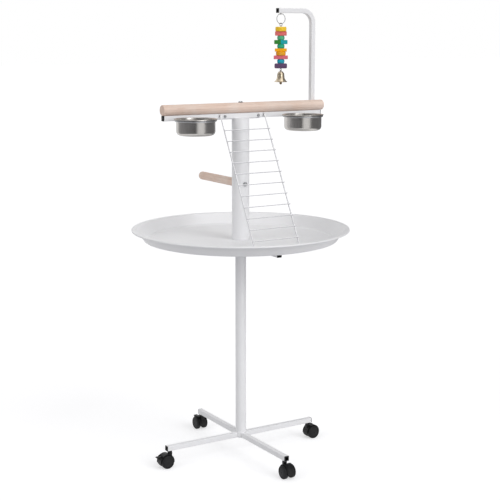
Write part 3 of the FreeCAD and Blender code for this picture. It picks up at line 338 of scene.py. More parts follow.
def brushed_steel(name):
    """Stainless steel, drawn to a bowl and brushed while it turned."""
    # The eye sees a grey metal with fine lines round the wall, which draw lights out into upright streaks.
    # Real brush lines are under 0.1 mm apart; they are drawn 0.6 mm apart so that they show.
    colour = bpy.context.scene.stand_colours.steel
    material, tree, _ = start_material(name)
    turning = add_node(tree, "ShaderNodeUVMap", {"uv_map": "turning"}).outputs["UV"]
    lined = add_node(tree, "ShaderNodeMapping", {"Scale": (0.5, 1.0, 1.0)}, {"Vector": turning}).outputs["Vector"]
    lines = noise(tree, lined, 0.6 * MM, 4.0, Roughness=0.7)
    metal = ramp(tree, lines, (0.3, tone(colour, 0.84)), (0.7, tone(colour, 1.06)))
    gloss = span(tree, lines, 0.3, 0.7, 0.16, 0.26)
    round_way = add_node(tree, "ShaderNodeTangent", {"direction_type": "UV_MAP", "uv_map": "turning"})
    return end_material(material, metal, gloss, lines, 0.1, 0.02 * MM, {**METAL, "Anisotropic": 0.75},
                        {"Tangent": round_way.outputs["Tangent"]})


def zinc_plate(name):
    """Steel, zinc plated bright in a barrel."""
    # The eye sees a cool light grey metal with faint cloudy patches and small tumbling marks.
    colour = bpy.context.scene.stand_colours.zinc
    material, tree, where = start_material(name)
    cloud = noise(tree, where, 5.0 * MM, 3.0)
    metal = ramp(tree, cloud, (0.3, tone(colour, 0.8)), (0.7, tone(colour, 1.08)))
    gloss = span(tree, cloud, 0.3, 0.7, 0.26, 0.42)
    return end_material(material, metal, gloss, pebbles(tree, where, 1.8 * MM), 0.12, 0.05 * MM, METAL)


def aged_brass(name, colour):
    """Brass sheet, spun to a bell, nickel washed and lightly aged."""
    # The eye sees a pale warm metal with brown tarnish in patches and bright rubbed spots.
    material, tree, where = start_material(name)
    tarnish = noise(tree, where, 7.0 * MM, 5.0, Roughness=0.6)
    metal = ramp(tree, tarnish, (0.28, tone(colour, 0.3)), (0.5, colour), (0.75, tone(colour, 1.25)))
    gloss = span(tree, tarnish, 0.3, 0.7, 0.4, 0.2)
    return end_material(material, metal, gloss, tarnish, 0.15, 0.06 * MM, METAL)


def finish(name):
    """Gives a finish by its name, and mixes it the first time it is asked for."""
    found = bpy.data.materials.get(name)
    if found:
        return found
    colours = bpy.context.scene.stand_colours
    kind, _, shade = name.rpartition("_")
    if kind in ("stained_wood", "aged_brass"):
        return {"stained_wood": stained_wood, "aged_brass": aged_brass}[kind](name, getattr(colours, shade))
    if name == "sanded_dowel_long":
        return sanded_dowel(name, "X", mm(0.0, 31.0, -1076.0))
    if name == "sanded_dowel_side":
        return sanded_dowel(name, "Y", mm(24.0, 0.0, -850.0))
    return {"powder_coated_steel": powder_coat, "sprayed_wire": sprayed_wire,
            "moulded_abs": moulded_plastic, "wheel_nylon": wheel_nylon,
            "brushed_stainless": brushed_steel, "zinc_plated_steel": zinc_plate}[name](name)


# ---------------------------------------------------------------- shapes


def at(x, y, z, along="Z"):
    """The place of a shape made about Z: where its foot goes and which way it then points."""
    turn = {"Z": Matrix(), "-Z": Matrix.Rotation(math.pi, 4, "X"),
            "X": Matrix.Rotation(math.pi / 2, 4, "Y"), "-X": Matrix.Rotation(-math.pi / 2, 4, "Y"),
            "Y": Matrix.Rotation(-math.pi / 2, 4, "X"), "-Y": Matrix.Rotation(math.pi / 2, 4, "X")}[along]
    return Matrix.Translation((x, y, z)) @ turn


def soften(shape, corners, size, segments, affect="EDGES"):
    """Rounds edges, or the corners of an outline."""
    bmesh.ops.bevel(shape, geom=corners, offset=size, offset_type="OFFSET", affect=affect, segments=segments,
                    profile=0.5, material=-1, clamp_overlap=True)


def edges_of(items):
    return [item for item in items if isinstance(item, bmesh.types.BMEdge)]


def sweep(shape, geom, angle, steps, centre=(0, 0, 0), axis=(0, 0, 1), **how):
    """Spins geometry about an axis, and gives where it ends."""
    return bmesh.ops.spin(shape, geom=geom, cent=centre, axis=axis, angle=angle, steps=steps, **how)["geom_last"]


def full_turn(shape, steps):
    """Spins a whole outline round Z until it meets its start."""
    sweep(shape, shape.verts[:] + shape.edges[:], 2 * math.pi, steps, use_merge=True)
    bmesh.ops.remove_doubles(shape, verts=shape.verts, dist=0.001 * MM)


def lathe(outline, steps=None, arc_steps=5):
    """Turns an outline of corners (radius, height, rounding) round Z. It is closed unless it ends on the axis."""
    shape = bmesh.new()
    corners = [shape.verts.new((corner[0], 0.0, corner[1])) for corner in outline]
    for one, other in zip(corners, corners[1:]):
        shape.edges.new((one, other))
    if outline[0][0] > 0.0:
        shape.edges.new((corners[-1], corners[0]))
    points = [Vector(corner[:2]) for corner in outline]
    for number, corner in enumerate(outline):
        if len(corner) < 3 or not corner[2]:
            continue
        back = points[number - 1] - points[number]
        ahead = points[(number + 1) % len(points)] - points[number]
        reach = corner[2] / math.tan(back.angle(ahead) / 2)
        soften(shape, [corners[number]], reach, arc_steps, "VERTICES")
    full_turn(shape, steps or bpy.context.scene.stand_sizes.turn_steps)
    bmesh.ops.dissolve_degenerate(shape, edges=shape.edges, dist=0.0001 * MM)
    return shape


def bar(radius, length, foot=0.0, tip=0.0, **how):
    """A turned bar that stands on the origin, with the edges of its foot and tip rounded."""
    return lathe(((0, 0), (radius, 0, foot), (radius, length, tip), (0, length)), **how)


def ring(radius, wire, steps=64, sides=14):
    """A round wire bent to a ring about Z."""
    shape = bmesh.new()
    bmesh.ops.create_circle(shape, segments=sides, radius=wire, matrix=at(radius, 0, 0, "Y"))
    full_turn(shape, steps)
    return shape


def screw_thread(radius, depth, pitch, turns, steps=20):
    """The ridge of a screw thread, wound up along Z on a core of the radius less the depth."""
    shape = bmesh.new()
    ridge = [shape.verts.new((radius - 1.3 * depth, 0, 0)), shape.verts.new((radius, 0, pitch * 0.45)),
             shape.verts.new((radius - 1.3 * depth, 0, pitch * 0.9))]
    face = shape.faces.new(ridge)
    edges = face.edges[:]
    shape.faces.remove(face)
    last = sweep(shape, ridge + edges, 2 * math.pi * turns, steps * turns, dvec=(0, 0, pitch / steps))
    bmesh.ops.contextual_create(shape, geom=edges)
    bmesh.ops.contextual_create(shape, geom=edges_of(last))
    return shape


def rod(points, radius, bend=0.0, sides=24, bend_steps=14, end=0.0, corner=None):
    """A rod along straight runs that meet in arcs, with rounded end edges. A corner rounding makes it square."""
    shape = bmesh.new()
    points = [Vector(point) for point in points]
    way = (points[1] - points[0]).normalized()
    facing = Matrix.Translation(points[0]) @ way.to_track_quat("Z", "Y").to_matrix().to_4x4()
    if corner:
        bmesh.ops.create_grid(shape, x_segments=1, y_segments=1, size=radius, matrix=facing)
        soften(shape, shape.verts, corner, 5, "VERTICES")
    else:
        bmesh.ops.create_circle(shape, segments=sides, radius=radius, cap_ends=True, matrix=facing)
    first = edges = shape.edges[:]
    now = points[0]
    for number in range(1, len(points)):
        target = points[number]
        way = (target - now).normalized()
        after = None
        if number < len(points) - 1:
            after = (points[number + 1] - points[number]).normalized()
            swing = way.angle(after)
            target = target - way * bend * math.tan(swing / 2)
        grown = bmesh.ops.extrude_edge_only(shape, edges=edges)["geom"]
        moved = [item for item in grown if isinstance(item, bmesh.types.BMVert)]
        edges = [edge for edge in edges_of(grown) if edge.verts[0] in moved and edge.verts[1] in moved]
        bmesh.ops.translate(shape, verts=moved, vec=target - now)
        now = target
        if after is not None:
            axis = way.cross(after).normalized()
            centre = now + axis.cross(way) * bend
            edges = edges_of(sweep(shape, edges + moved, swing, bend_steps, centre, axis))
            now = points[number] + after * bend * math.tan(swing / 2)
    bmesh.ops.contextual_create(shape, geom=edges)
    if end:
        soften(shape, first + edges, end, 4)
    return shape


def block(size, edge, segments=3):
    """A box about the origin with all its edges rounded."""
    shape = bmesh.new()
    bmesh.ops.create_cube(shape, size=1.0, matrix=Matrix.Diagonal((*size, 1.0)))
    soften(shape, shape.edges, edge, segments)
    return shape


def nut(width, height, edge):
    """A hexagon nut that stands on the origin, measured across its corners."""
    shape = bmesh.new()
    bmesh.ops.create_cone(shape, cap_ends=True, segments=6, radius1=width / 2, radius2=width / 2, depth=height,
                          matrix=Matrix.Translation((0, 0, height / 2)))
    soften(shape, shape.edges, edge, 2)
    return shape


def button_head(radius, height, socket):
    """A round bolt head on the origin with a key socket in its top."""
    return lathe(((0, 0), (radius, 0, 0.2 * height), (radius, 0.45 * height, 0.35 * height),
                  (0.62 * radius, height, 0.5 * height), (socket, height, 0.1 * height),
                  (0.86 * socket, 0.4 * height), (0, 0.36 * height)), steps=48)


def gather(*placed):
    """Puts shapes in their places and joins them to one."""
    whole = bmesh.new()
    for shape, place in placed:
        bmesh.ops.transform(shape, matrix=place, verts=shape.verts)
        bmesh.ops.recalc_face_normals(shape, faces=shape.faces)
        mesh = bpy.data.meshes.new("part")
        shape.to_mesh(mesh)
        shape.free()
        whole.from_mesh(mesh)
        bpy.data.meshes.remove(mesh)
    return whole


def piece(name, shape, finishes, body, nodes=(), crease=34.0, level=False):
    """Makes the finished object: shading, materials, the body it rides on and the nodes it stands for."""
    bmesh.ops.recalc_face_normals(shape, faces=shape.faces)
    for face in shape.faces:
        face.smooth = True
    for edge in shape.edges:
        if len(edge.link_faces) == 2:
            edge.smooth = edge.calc_face_angle() < math.radians(crease)
    mesh = bpy.data.meshes.new(name)
    shape.to_mesh(mesh)
    shape.free()
    for wanted in ([finishes] if isinstance(finishes, str) else finishes):
        mesh.materials.append(finish(wanted))
    made = bpy.data.objects.new(name, mesh)
    bpy.context.scene.collection.objects.link(made)
    if level:
        # Flat faces keep flat light up to their rounded edges.
        made.modifiers.new("level_shading", "WEIGHTED_NORMAL").keep_sharp = True
    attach(made, body)
    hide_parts(*nodes)
    return made


def dress(nodes, finish_name):
    """Gives CAD nodes that stay in view their finish."""
    for name in nodes:
        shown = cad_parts[name]
        if not shown.material_slots:
            shown.data.materials.append(None)
        for held in shown.material_slots:
            held.material = finish(finish_name)


def middle(node):
    low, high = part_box(node)
    return (low + high) / 2


# ---------------------------------------------------------------- operators


class STAND_OT_base(bpy.types.Operator):
    """Coats the four legs and the hub, and adds the end caps"""
    bl_idname = "stand.base"
    bl_label = "Base"

    def execute(self, context):
        dress(["base_hub"] + ["leg_" + side for side in SIDES], "powder_coated_steel")
        low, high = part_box("leg_caps")
        width = high.z - low.z
        height = low.z + width / 2
        caps = []
        for turn in SIDES.values():
            place = Matrix.Rotation(math.radians(turn), 4, "Z")
            caps.append((block((2 * MM, width, width), 0.7 * MM), place @ at(high.x - 1 * MM, 0, height)))
            # the pressed middle of the cap, a shade proud of its rim
            caps.append((block((1 * MM, 0.62 * width, 0.62 * width), 0.4 * MM),
                         place @ at(high.x - 0.5 * MM, 0, height)))
        piece("leg_end_caps", gather(*caps), "moulded_abs", "stand", ["leg_caps"], level=True)
        return {"FINISHED"}


class STAND_OT_column(bpy.types.Operator):
    """Makes the round pole and post, and coats the support bar, bracket and crossbar"""
    bl_idname = "stand.column"
    bl_label = "Pole, post and crossbar"

    def execute(self, context):
        wall = context.scene.stand_sizes.tube_wall
        for name, node in (("pole_tube", "lower_pole"), ("post_tube", "upper_post")):
            low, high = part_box(node)
            radius = (high.x - low.x) / 2
            tube = lathe(((radius - wall, low.z), (radius, low.z, 0.4 * MM), (radius, high.z, 0.4 * MM),
                          (radius - wall, high.z)))
            piece(name, tube, "powder_coated_steel", "stand", [node])
        dress(["support_bar", "post_bracket", "crossbar", "arm_socket"], "powder_coated_steel")
        dress(["tray_stud", "post_foot_plug"], "zinc_plated_steel")

        low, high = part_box("support_bar_caps")
        width, height = high.x - low.x, high.z - low.z
        caps = [(block((width, 2 * MM, height), 0.7 * MM), at(0, y, low.z + height / 2))
                for y in (low.y + 1 * MM, high.y - 1 * MM)]
        piece("support_end_caps", gather(*caps), "moulded_abs", "stand", ["support_bar_caps"],
              level=True)
        low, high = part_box("crossbar_caps")
        width = high.z - low.z
        caps = [(block((2 * MM, width, width), 0.7 * MM), at(x, 0, low.z + width / 2))
                for x in (low.x + 1 * MM, high.x - 1 * MM)]
        piece("crossbar_end_caps", gather(*caps), "moulded_abs", "stand", ["crossbar_caps"],
              level=True)
        return {"FINISHED"}


class STAND_OT_tray(bpy.types.Operator):
    """Presses the round tray with its step, leaning wall, flat lip and folded hem"""
    bl_idname = "stand.tray"
    bl_label = "Tray"

    def execute(self, context):
        sizes = context.scene.stand_sizes
        low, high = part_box("tray")
        edge = min(high.x, -low.x, high.y, -low.y) - 0.02 * MM
        rise = high.z - low.z
        sheet = sizes.tray_sheet
        floor = edge - sizes.tray_flare
        step = floor - sizes.tray_step_width
        wall_top = edge - sizes.tray_lip
        hole = 4.3 * MM
        tray = lathe((
            (hole, 0), (step, 0, 3 * MM), (step + sizes.tray_step, sizes.tray_step, 3 * MM),
            (floor, sizes.tray_step, 5 * MM), (wall_top, rise - sheet, 3 * MM),
            (edge - 1.5 * MM, rise - sheet, 0.4 * MM), (edge - 1.5 * MM, rise - sizes.tray_hem, 0.4 * MM),
            (edge, rise - sizes.tray_hem, 0.7 * MM), (edge, rise, 1.6 * MM),
            (wall_top - 1.2 * MM, rise, 4.5 * MM), (floor - 1.2 * MM, sizes.tray_step + sheet, 6.5 * MM),
            (step, sizes.tray_step + sheet, 3 * MM), (step - sizes.tray_step, sheet, 3 * MM), (hole, sheet),
        ), steps=192)
        piece("seed_tray", gather((tray, at(0, 0, low.z))), "powder_coated_steel", "stand", ["tray"],
              crease=50.0)
        return {"FINISHED"}


class STAND_OT_casters(bpy.types.Operator):
    """Makes the twin-wheel casters: hood, web, neck, wheels and the two brake levers"""
    bl_idname = "stand.casters"
    bl_label = "Casters"

    def brake_pivot(self, sizes):
        """Where the brake lever turns: its distance behind the stem and its height."""
        return (sizes.caster_trail + HOOD_RADIUS * math.cos(sizes.brake_rise),
                WHEEL_RADIUS + HOOD_RADIUS * math.sin(sizes.brake_rise))

    def hood_strip(self, axle, strip, start, end):
        """A moulded strip of the given section, bent round the axle from one angle to another."""
        shape = bmesh.new()
        first = math.radians(start)
        corners = [shape.verts.new((axle.x + out * math.cos(first), y, axle.z + out * math.sin(first)))
                   for out, y in strip]
        sweep(shape, [shape.faces.new(corners)], math.radians(end - start), round((end - start) / 4), axle,
              (0, -1, 0))
        soften(shape, [edge for edge in shape.edges if edge.calc_face_angle(0.0) > 1.2], 0.35 * MM, 2)
        return shape

    def housing(self, sizes, braked):
        """A caster housing about its stem, with the wheels trailing towards +X."""
        axle = Vector((sizes.caster_trail, 0, WHEEL_RADIUS))
        inner, outer, half = 20.9 * MM, HOOD_RADIUS, 12.5 * MM
        low = outer - 0.5 * MM
        # the hood has a raised lip along both edges; a brake lever leaves it open in the middle
        slot = 6.8 * MM
        parts = [((inner, -half), (outer, -half), (outer, 1.6 * MM - half), (low, 2.2 * MM - half),
                  (low, -slot), (inner, -slot)),
                 ((inner, slot), (low, slot), (low, half - 2.2 * MM), (outer, half - 1.6 * MM), (outer, half),
                  (inner, half))]
        placed = [(self.hood_strip(axle, part, -10, 190), Matrix()) for part in parts]
        middle_strip = ((inner, -slot), (low, -slot), (low, slot), (inner, slot))
        for start, end in ((-10, 22), (52, 190)) if braked else ((-10, 190),):
            placed.append((self.hood_strip(axle, middle_strip, start, end), Matrix()))
        # the web stands between the wheels
        web = bmesh.new()
        bmesh.ops.create_cone(web, cap_ends=True, segments=72, radius1=inner - 0.4 * MM, radius2=inner - 0.4 * MM,
                              depth=10.6 * MM, matrix=at(*axle, "Y"))
        cut = bmesh.ops.bisect_plane(web, geom=web.verts[:] + web.edges[:] + web.faces[:], plane_co=mm(0, 0, 13),
                                     plane_no=(0, 0, -1), clear_outer=True)["geom_cut"]
        bmesh.ops.contextual_create(web, geom=edges_of(cut))
        placed.append((web, Matrix()))
        # the neck is round-cornered and carries a swivel collar
        placed.append((block(mm(10.8, 10.8, 26), 1.6 * MM, 4), at(0, 0, 34.8 * MM)))
        placed.append((lathe((mm(4.2, 0), mm(5.4, 0, 0.4), mm(5.4, 1.6, 0.5),
                              mm(4.2, 1.6)), steps=40), at(0, 0, 47.8 * MM)))
        if braked:
            out, height = self.brake_pivot(sizes)
            for y in mm(-7.9, 6.6):
                placed.append((bar(4.2 * MM, 1.3 * MM, 0.3 * MM, 0.3 * MM, steps=40), at(out, y, height, "Y")))
        return gather(*placed)

    def wheels(self, trail):
        """The two wheels of a caster: rounded tread, ring groove and slightly crowned cover."""
        outline = ((0, 0), mm(19.9, 0, 3.4), mm(19.9, 12.4, 3.4), mm(15.9, 12.4, 0.3),
                   mm(15.6, 11.2, 0.3), mm(14.8, 11.2, 0.3), mm(14.5, 11.9, 0.4),
                   mm(7.0, 12.4), mm(2.4, 12.5, 0.2), mm(2.2, 11.9), mm(0, 11.9))
        return gather((lathe(outline), at(trail, -6 * MM, WHEEL_RADIUS, "-Y")),
                      (lathe(outline), at(trail, 6 * MM, WHEEL_RADIUS, "Y")))

    def lever(self, sizes):
        """A brake lever: barrel, tread plate and its grip ridges."""
        out, height = self.brake_pivot(sizes)
        placed = [(bar(2.4 * MM, 12 * MM, 0.3 * MM, 0.3 * MM, steps=32), at(out, -6 * MM, height, "Y")),
                  (block(mm(13.6, 12, 3.4), 0.9 * MM), at(out + 7.1 * MM, 0, height - 0.1 * MM))]
        for step in range(3):
            placed.append((block(mm(0.9, 9.6, 0.7), 0.25 * MM, 2),
                           at(out + (6.8 + 2.2 * step) * MM, 0, height + 1.5 * MM)))
        return gather(*placed)

    def execute(self, context):
        sizes = context.scene.stand_sizes
        dress(["caster_stems"] + ["caster_axle_" + side for side in SIDES], "zinc_plated_steel")
        for side, turn in SIDES.items():
            place = Matrix.Rotation(math.radians(turn), 4, "Z") @ at(STEM_OUT, 0, 0)
            braked = side in ("left", "back")
            piece("caster_body_" + side, gather((self.housing(sizes, braked), place)), "moulded_abs",
                  "caster_" + side, ["caster_housing_" + side], level=True)
            piece("caster_wheel_pair_" + side, gather((self.wheels(sizes.caster_trail), place)), "wheel_nylon",
                  "wheels_" + side, ["caster_wheels_" + side])
            if braked:
                piece("brake_tread_" + side, gather((self.lever(sizes), place)), "moulded_abs",
                      "brake_" + side, ["brake_lever_" + side], level=True)
        return {"FINISHED"}


class STAND_OT_perches(bpy.types.Operator):
    """Turns the long perch and the side perch from bare dowel, with their bolts"""
    bl_idname = "stand.perches"
    bl_label = "Perches"

    def execute(self, context):
        sizes = context.scene.stand_sizes
        low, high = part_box("main_perch")
        radius = (high.z - low.z) / 2
        length = high.x - low.x
        dowel = bar(radius, length, sizes.perch_edge, sizes.perch_edge)
        piece("long_perch", gather((dowel, at(low.x, 0, low.z + radius, "X"))), "sanded_dowel_long", "stand",
              ["main_perch"], crease=50.0)
        top = high.z

        low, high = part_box("side_perch")
        radius = (high.z - low.z) / 2
        length = high.y - low.y
        dowel = bar(radius, length, 0.6 * MM, sizes.side_perch_dome, arc_steps=10)
        piece("side_perch_dowel", gather((dowel, at(0, low.y, low.z + radius, "Y"))), "sanded_dowel_side",
              "stand", ["side_perch"], crease=50.0)

        low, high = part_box("perch_bolt")
        piece("perch_fixing",
              gather((button_head(6.5 * MM, high.z - top, 3 * MM), at(0, 0, top)),
                     (bar(2.9 * MM, top - low.z, 0.4 * MM, steps=32), at(0, 0, low.z)),
                     (nut(11 * MM, 5 * MM, 0.5 * MM), at(0, 0, low.z + 1.5 * MM))),
              "zinc_plated_steel", "stand", ["perch_bolt"])

        low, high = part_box("side_perch_bolt")
        centre = middle("side_perch_bolt")
        washer = lathe((mm(3.2, 0), mm(6.6, 0, 0.3), mm(6.6, 1.2, 0.3), mm(3.2, 1.2)), steps=48)
        shank = bar(3 * MM, high.y - low.y - 5 * MM, 0, 0.6 * MM, steps=32)
        piece("side_perch_fixing",
              gather((button_head(5.5 * MM, 4 * MM, 2.5 * MM), at(0, low.y + 4 * MM, centre.z, "-Y")),
                     (washer, at(0, low.y + 5.2 * MM, centre.z, "-Y")),
                     (shank, at(0, low.y + 4.5 * MM, centre.z, "Y"))),
              "zinc_plated_steel", "stand", ["side_perch_bolt"])
        return {"FINISHED"}


class STAND_OT_crossbar_fixings(bpy.types.Operator):
    """Makes the bolts and nuts that hold the crossbar to its bracket"""
    bl_idname = "stand.crossbar_fixings"
    bl_label = "Crossbar bolts"

    def execute(self, context):
        low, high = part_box("crossbar_bolts")
        height = middle("crossbar_bolts").z
        placed = []
        for x in (low.x + 4.5 * MM, high.x - 4.5 * MM):
            shank = bar(2.45 * MM, high.y - low.y - 3 * MM, 0, 0.5 * MM, steps=32)
            placed += [(button_head(4.5 * MM, 3 * MM, 2 * MM), at(x, low.y + 3 * MM, height, "-Y")),
                       (shank, at(x, low.y + 3 * MM, height, "Y")),
                       (nut(9 * MM, 4 * MM, 0.4 * MM), at(x, high.y - 5.5 * MM, height, "Y"))]
        piece("crossbar_fixings", gather(*placed), "zinc_plated_steel", "stand", ["crossbar_bolts"])
        return {"FINISHED"}


class STAND_OT_bowls(bpy.types.Operator):
    """Spins the two feeding bowls and makes their wire rings, threaded studs and wing nuts"""
    bl_idname = "stand.bowls"
    bl_label = "Bowls"

    def mark_turning(self, shape, reach):
        """A UV map that runs round the bowl and up its wall, in metres along the surface."""
        layer = shape.loops.layers.uv.new("turning")
        for face in shape.faces:
            aim = face.calc_center_median()
            around = math.atan2(aim.y, aim.x)
            for loop in face.loops:
                spot = loop.vert.co
                angle = math.atan2(spot.y, spot.x) if spot.xy.length > 0.01 * MM else around
                if angle - around > math.pi:
                    angle -= 2 * math.pi
                if around - angle > math.pi:
                    angle += 2 * math.pi
                loop[layer].uv = (angle * reach, spot.z + spot.xy.length)

    def execute(self, context):
        sizes = context.scene.stand_sizes
        nuts = []
        for side in ("left", "right"):
            low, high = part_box("bowl_" + side)
            centre = (low + high) / 2
            rim = (high.x - low.x) / 2 - 0.02 * MM
            wall = rim - sizes.bowl_flange
            rise = high.z - low.z
            sheet = sizes.bowl_sheet
            bowl = lathe((
                mm(0, 0.6), (0.62 * wall, 0.6 * MM, 2 * MM), (0.66 * wall, 0, 2 * MM),
                (wall, 0, sizes.bowl_corner), (wall, rise - 1.5 * MM, 0.8 * MM),
                (rim - 1.4 * MM, rise - 1.5 * MM, 0.4 * MM), (rim - 1.4 * MM, rise - 2.6 * MM, 0.4 * MM),
                (rim, rise - 2.6 * MM, 0.6 * MM), (rim, rise, 1.2 * MM),
                (wall - sheet, rise, 2.4 * MM), (wall - sheet, sheet, sizes.bowl_corner - sheet),
                (0.66 * wall, sheet, 2 * MM), (0.62 * wall, sheet + 0.6 * MM, 2 * MM), (0, sheet + 0.6 * MM),
            ), steps=128, arc_steps=6)
            self.mark_turning(bowl, rim)
            bmesh.ops.translate(bowl, verts=bowl.verts, vec=(centre.x, centre.y, low.z))
            piece("feeding_bowl_" + side, bowl, "brushed_stainless", "bowl_" + side + "_body", ["bowl_" + side],
                  crease=50.0)

            low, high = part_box("bowl_ring_" + side)
            wire = 2 * MM
            hoop = (high.x - low.x) / 2 - wire
            hoop_y = low.y + hoop + wire
            stud_z = high.z - 2.5 * MM
            tail = high.y - hoop_y - hoop
            stud = bar(2.2 * MM, tail, 0, 0.5 * MM, steps=24)
            thread = screw_thread(2.48 * MM, 0.35 * MM, 0.9 * MM, 16)
            piece("bowl_hoop_" + side,
                  gather((ring(hoop, wire, 96), at(centre.x, hoop_y, low.z + wire)),
                         (stud, at(centre.x, hoop_y + hoop, stud_z, "Y")),
                         (thread, at(centre.x, high.y - 15.2 * MM, stud_z, "Y"))),
                  "zinc_plated_steel", "stand", ["bowl_ring_" + side])

            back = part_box("crossbar")[1].y
            hub = lathe((mm(2.5, 0), mm(5.0, 0, 0.5), mm(4.2, 6, 0.8), mm(2.5, 6)), steps=40)
            nuts.append((hub, at(centre.x, back, stud_z, "Y")))
            for way in (-1, 1):
                wing = block(mm(8.2, 8.4, 2.0), 0.9 * MM)
                lean = Matrix.Translation((centre.x + way * 7.6 * MM, back + 6.1 * MM, stud_z))
                nuts.append((wing, lean @ Matrix.Rotation(way * math.radians(8), 4, "Z")))
        piece("bowl_wing_nuts", gather(*nuts), "zinc_plated_steel", "stand", ["wing_nuts"],
              level=True)
        return {"FINISHED"}


class STAND_OT_ladder(bpy.types.Operator):
    """Bends the two ladder rails and welds the rungs on in front of them"""
    bl_idname = "stand.ladder"
    bl_label = "Ladder"

    def execute(self, context):
        sizes = context.scene.stand_sizes
        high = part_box("ladder_rails")[1]
        radius = 2 * MM
        rail_x = high.x - radius
        hook = Vector((0, -sizes.ladder_hook_out, sizes.ladder_hook_height))
        foot = Vector((0, -sizes.ladder_foot_out, sizes.ladder_foot_height))
        rails = []
        for way in (-1, 1):
            aside = Vector((way * rail_x, 0, 0))
            rails.append((rod((Vector((0, high.y, hook.z)) + aside, hook + aside, foot + aside), radius,
                              sizes.rail_bend, sides=18, end=0.5 * MM), Matrix()))
        piece("ladder_side_rails", gather(*rails), "sprayed_wire", "ladder", ["ladder_rails"],
              crease=50.0)

        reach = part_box("ladder_rungs")[1].x
        down = (foot - hook).normalized()
        ahead = Vector((0, down.z, -down.y)).normalized()
        first = 46 * MM
        pitch = 33.5 * MM
        placed = []
        for step in range(sizes.rung_count):
            spot = hook + down * (first + pitch * step) + ahead * 3.55 * MM
            placed.append((rod((spot + Vector((-reach, 0, 0)), spot + Vector((reach, 0, 0))), 1.5 * MM, sides=14,
                               end=0.6 * MM), Matrix()))
            for way in (-1, 1):
                # the flattened weld between rung and rail
                weld = bmesh.new()
                bmesh.ops.create_uvsphere(weld, u_segments=12, v_segments=8, radius=1.0)
                shape = Matrix.Diagonal((1.9 * MM, 2.1 * MM, 1.7 * MM, 1.0))
                on_rail = spot - ahead * 1.6 * MM + Vector((way * rail_x, 0, 0))
                placed.append((weld, at(*on_rail) @ shape))
        piece("ladder_step_rungs", gather(*placed), "sprayed_wire", "ladder", ["ladder_rungs"],
              crease=50.0)
        return {"FINISHED"}


class STAND_OT_arm(bpy.types.Operator):
    """Bends the toy arm and makes its end cap, wire loop and thumbscrew"""
    bl_idname = "stand.arm"
    bl_label = "Toy arm"

    def execute(self, context):
        sizes = context.scene.stand_sizes
        low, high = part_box("toy_arm")
        half = (high.y - low.y) / 2 - 0.01 * MM
        y = middle("toy_arm").y
        post_x, top = high.x - half - 0.01 * MM, high.z - half - 0.01 * MM
        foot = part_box("arm_socket")[1].z + 0.6 * MM
        bent = rod(((post_x, y, foot), (post_x, y, top), (low.x, y, top)), half, sizes.arm_bend, bend_steps=28,
                   corner=sizes.arm_corner)
        pin_length = foot + 1 * MM - low.z
        pin = bar(6.5 * MM, pin_length, 1.2 * MM, steps=48)
        piece("toy_arm_tube", gather((bent, Matrix()), (pin, at(post_x, y, low.z))), "powder_coated_steel", "arm",
              ["toy_arm"], level=True)

        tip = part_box("toy_arm_cap")[0].x
        piece("toy_arm_end_cap",
              gather((block((2 * MM, 2 * half, 2 * half), 0.7 * MM), at(tip + 1 * MM, y, top)),
                     (block((1 * MM, 1.2 * half, 1.2 * half), 0.4 * MM), at(tip + 0.5 * MM, y, top))),
              "moulded_abs", "arm", ["toy_arm_cap"], level=True)

        low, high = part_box("toy_arm_loop")
        toy_x = middle("toy_arm_loop").x
        piece("toy_arm_eye", gather((ring(3.3 * MM, 1 * MM, 40), at(toy_x, y, low.z + 4.3 * MM, "X"))),
              "powder_coated_steel", "arm", ["toy_arm_loop"])

        low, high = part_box("arm_thumbscrew")
        knob_radius = (high.z - low.z) / 2
        spot = middle("arm_thumbscrew")
        knob = lathe(((0, 0), (knob_radius - 0.8 * MM, 0, 0.8 * MM), (knob_radius - 0.8 * MM, 7 * MM, 1.2 * MM),
                      (0.55 * knob_radius, 7 * MM, 0.6 * MM), (0.5 * knob_radius, 6.3 * MM), mm(0, 6.3)), steps=48)
        grip = block(mm(1.5, 1.3, 5.6), 0.4 * MM, 2)
        bmesh.ops.translate(grip, verts=grip.verts, vec=(knob_radius - 0.85 * MM, 0, 3.5 * MM))
        sweep(grip, grip.faces[:], 2 * math.pi * 17 / 18, 17, use_duplicate=True)
        shank = bar(2.4 * MM, high.y - low.y - 6 * MM, 0.4 * MM, steps=32)
        start = high.y - 7 * MM
        piece("arm_grip_screw",
              gather((knob, at(spot.x, start, spot.z, "Y")), (grip, at(spot.x, start, spot.z, "Y")),
                     (shank, at(spot.x, low.y, spot.z, "Y"))),
              "moulded_abs", "stand", ["arm_thumbscrew"])
        return {"FINISHED"}


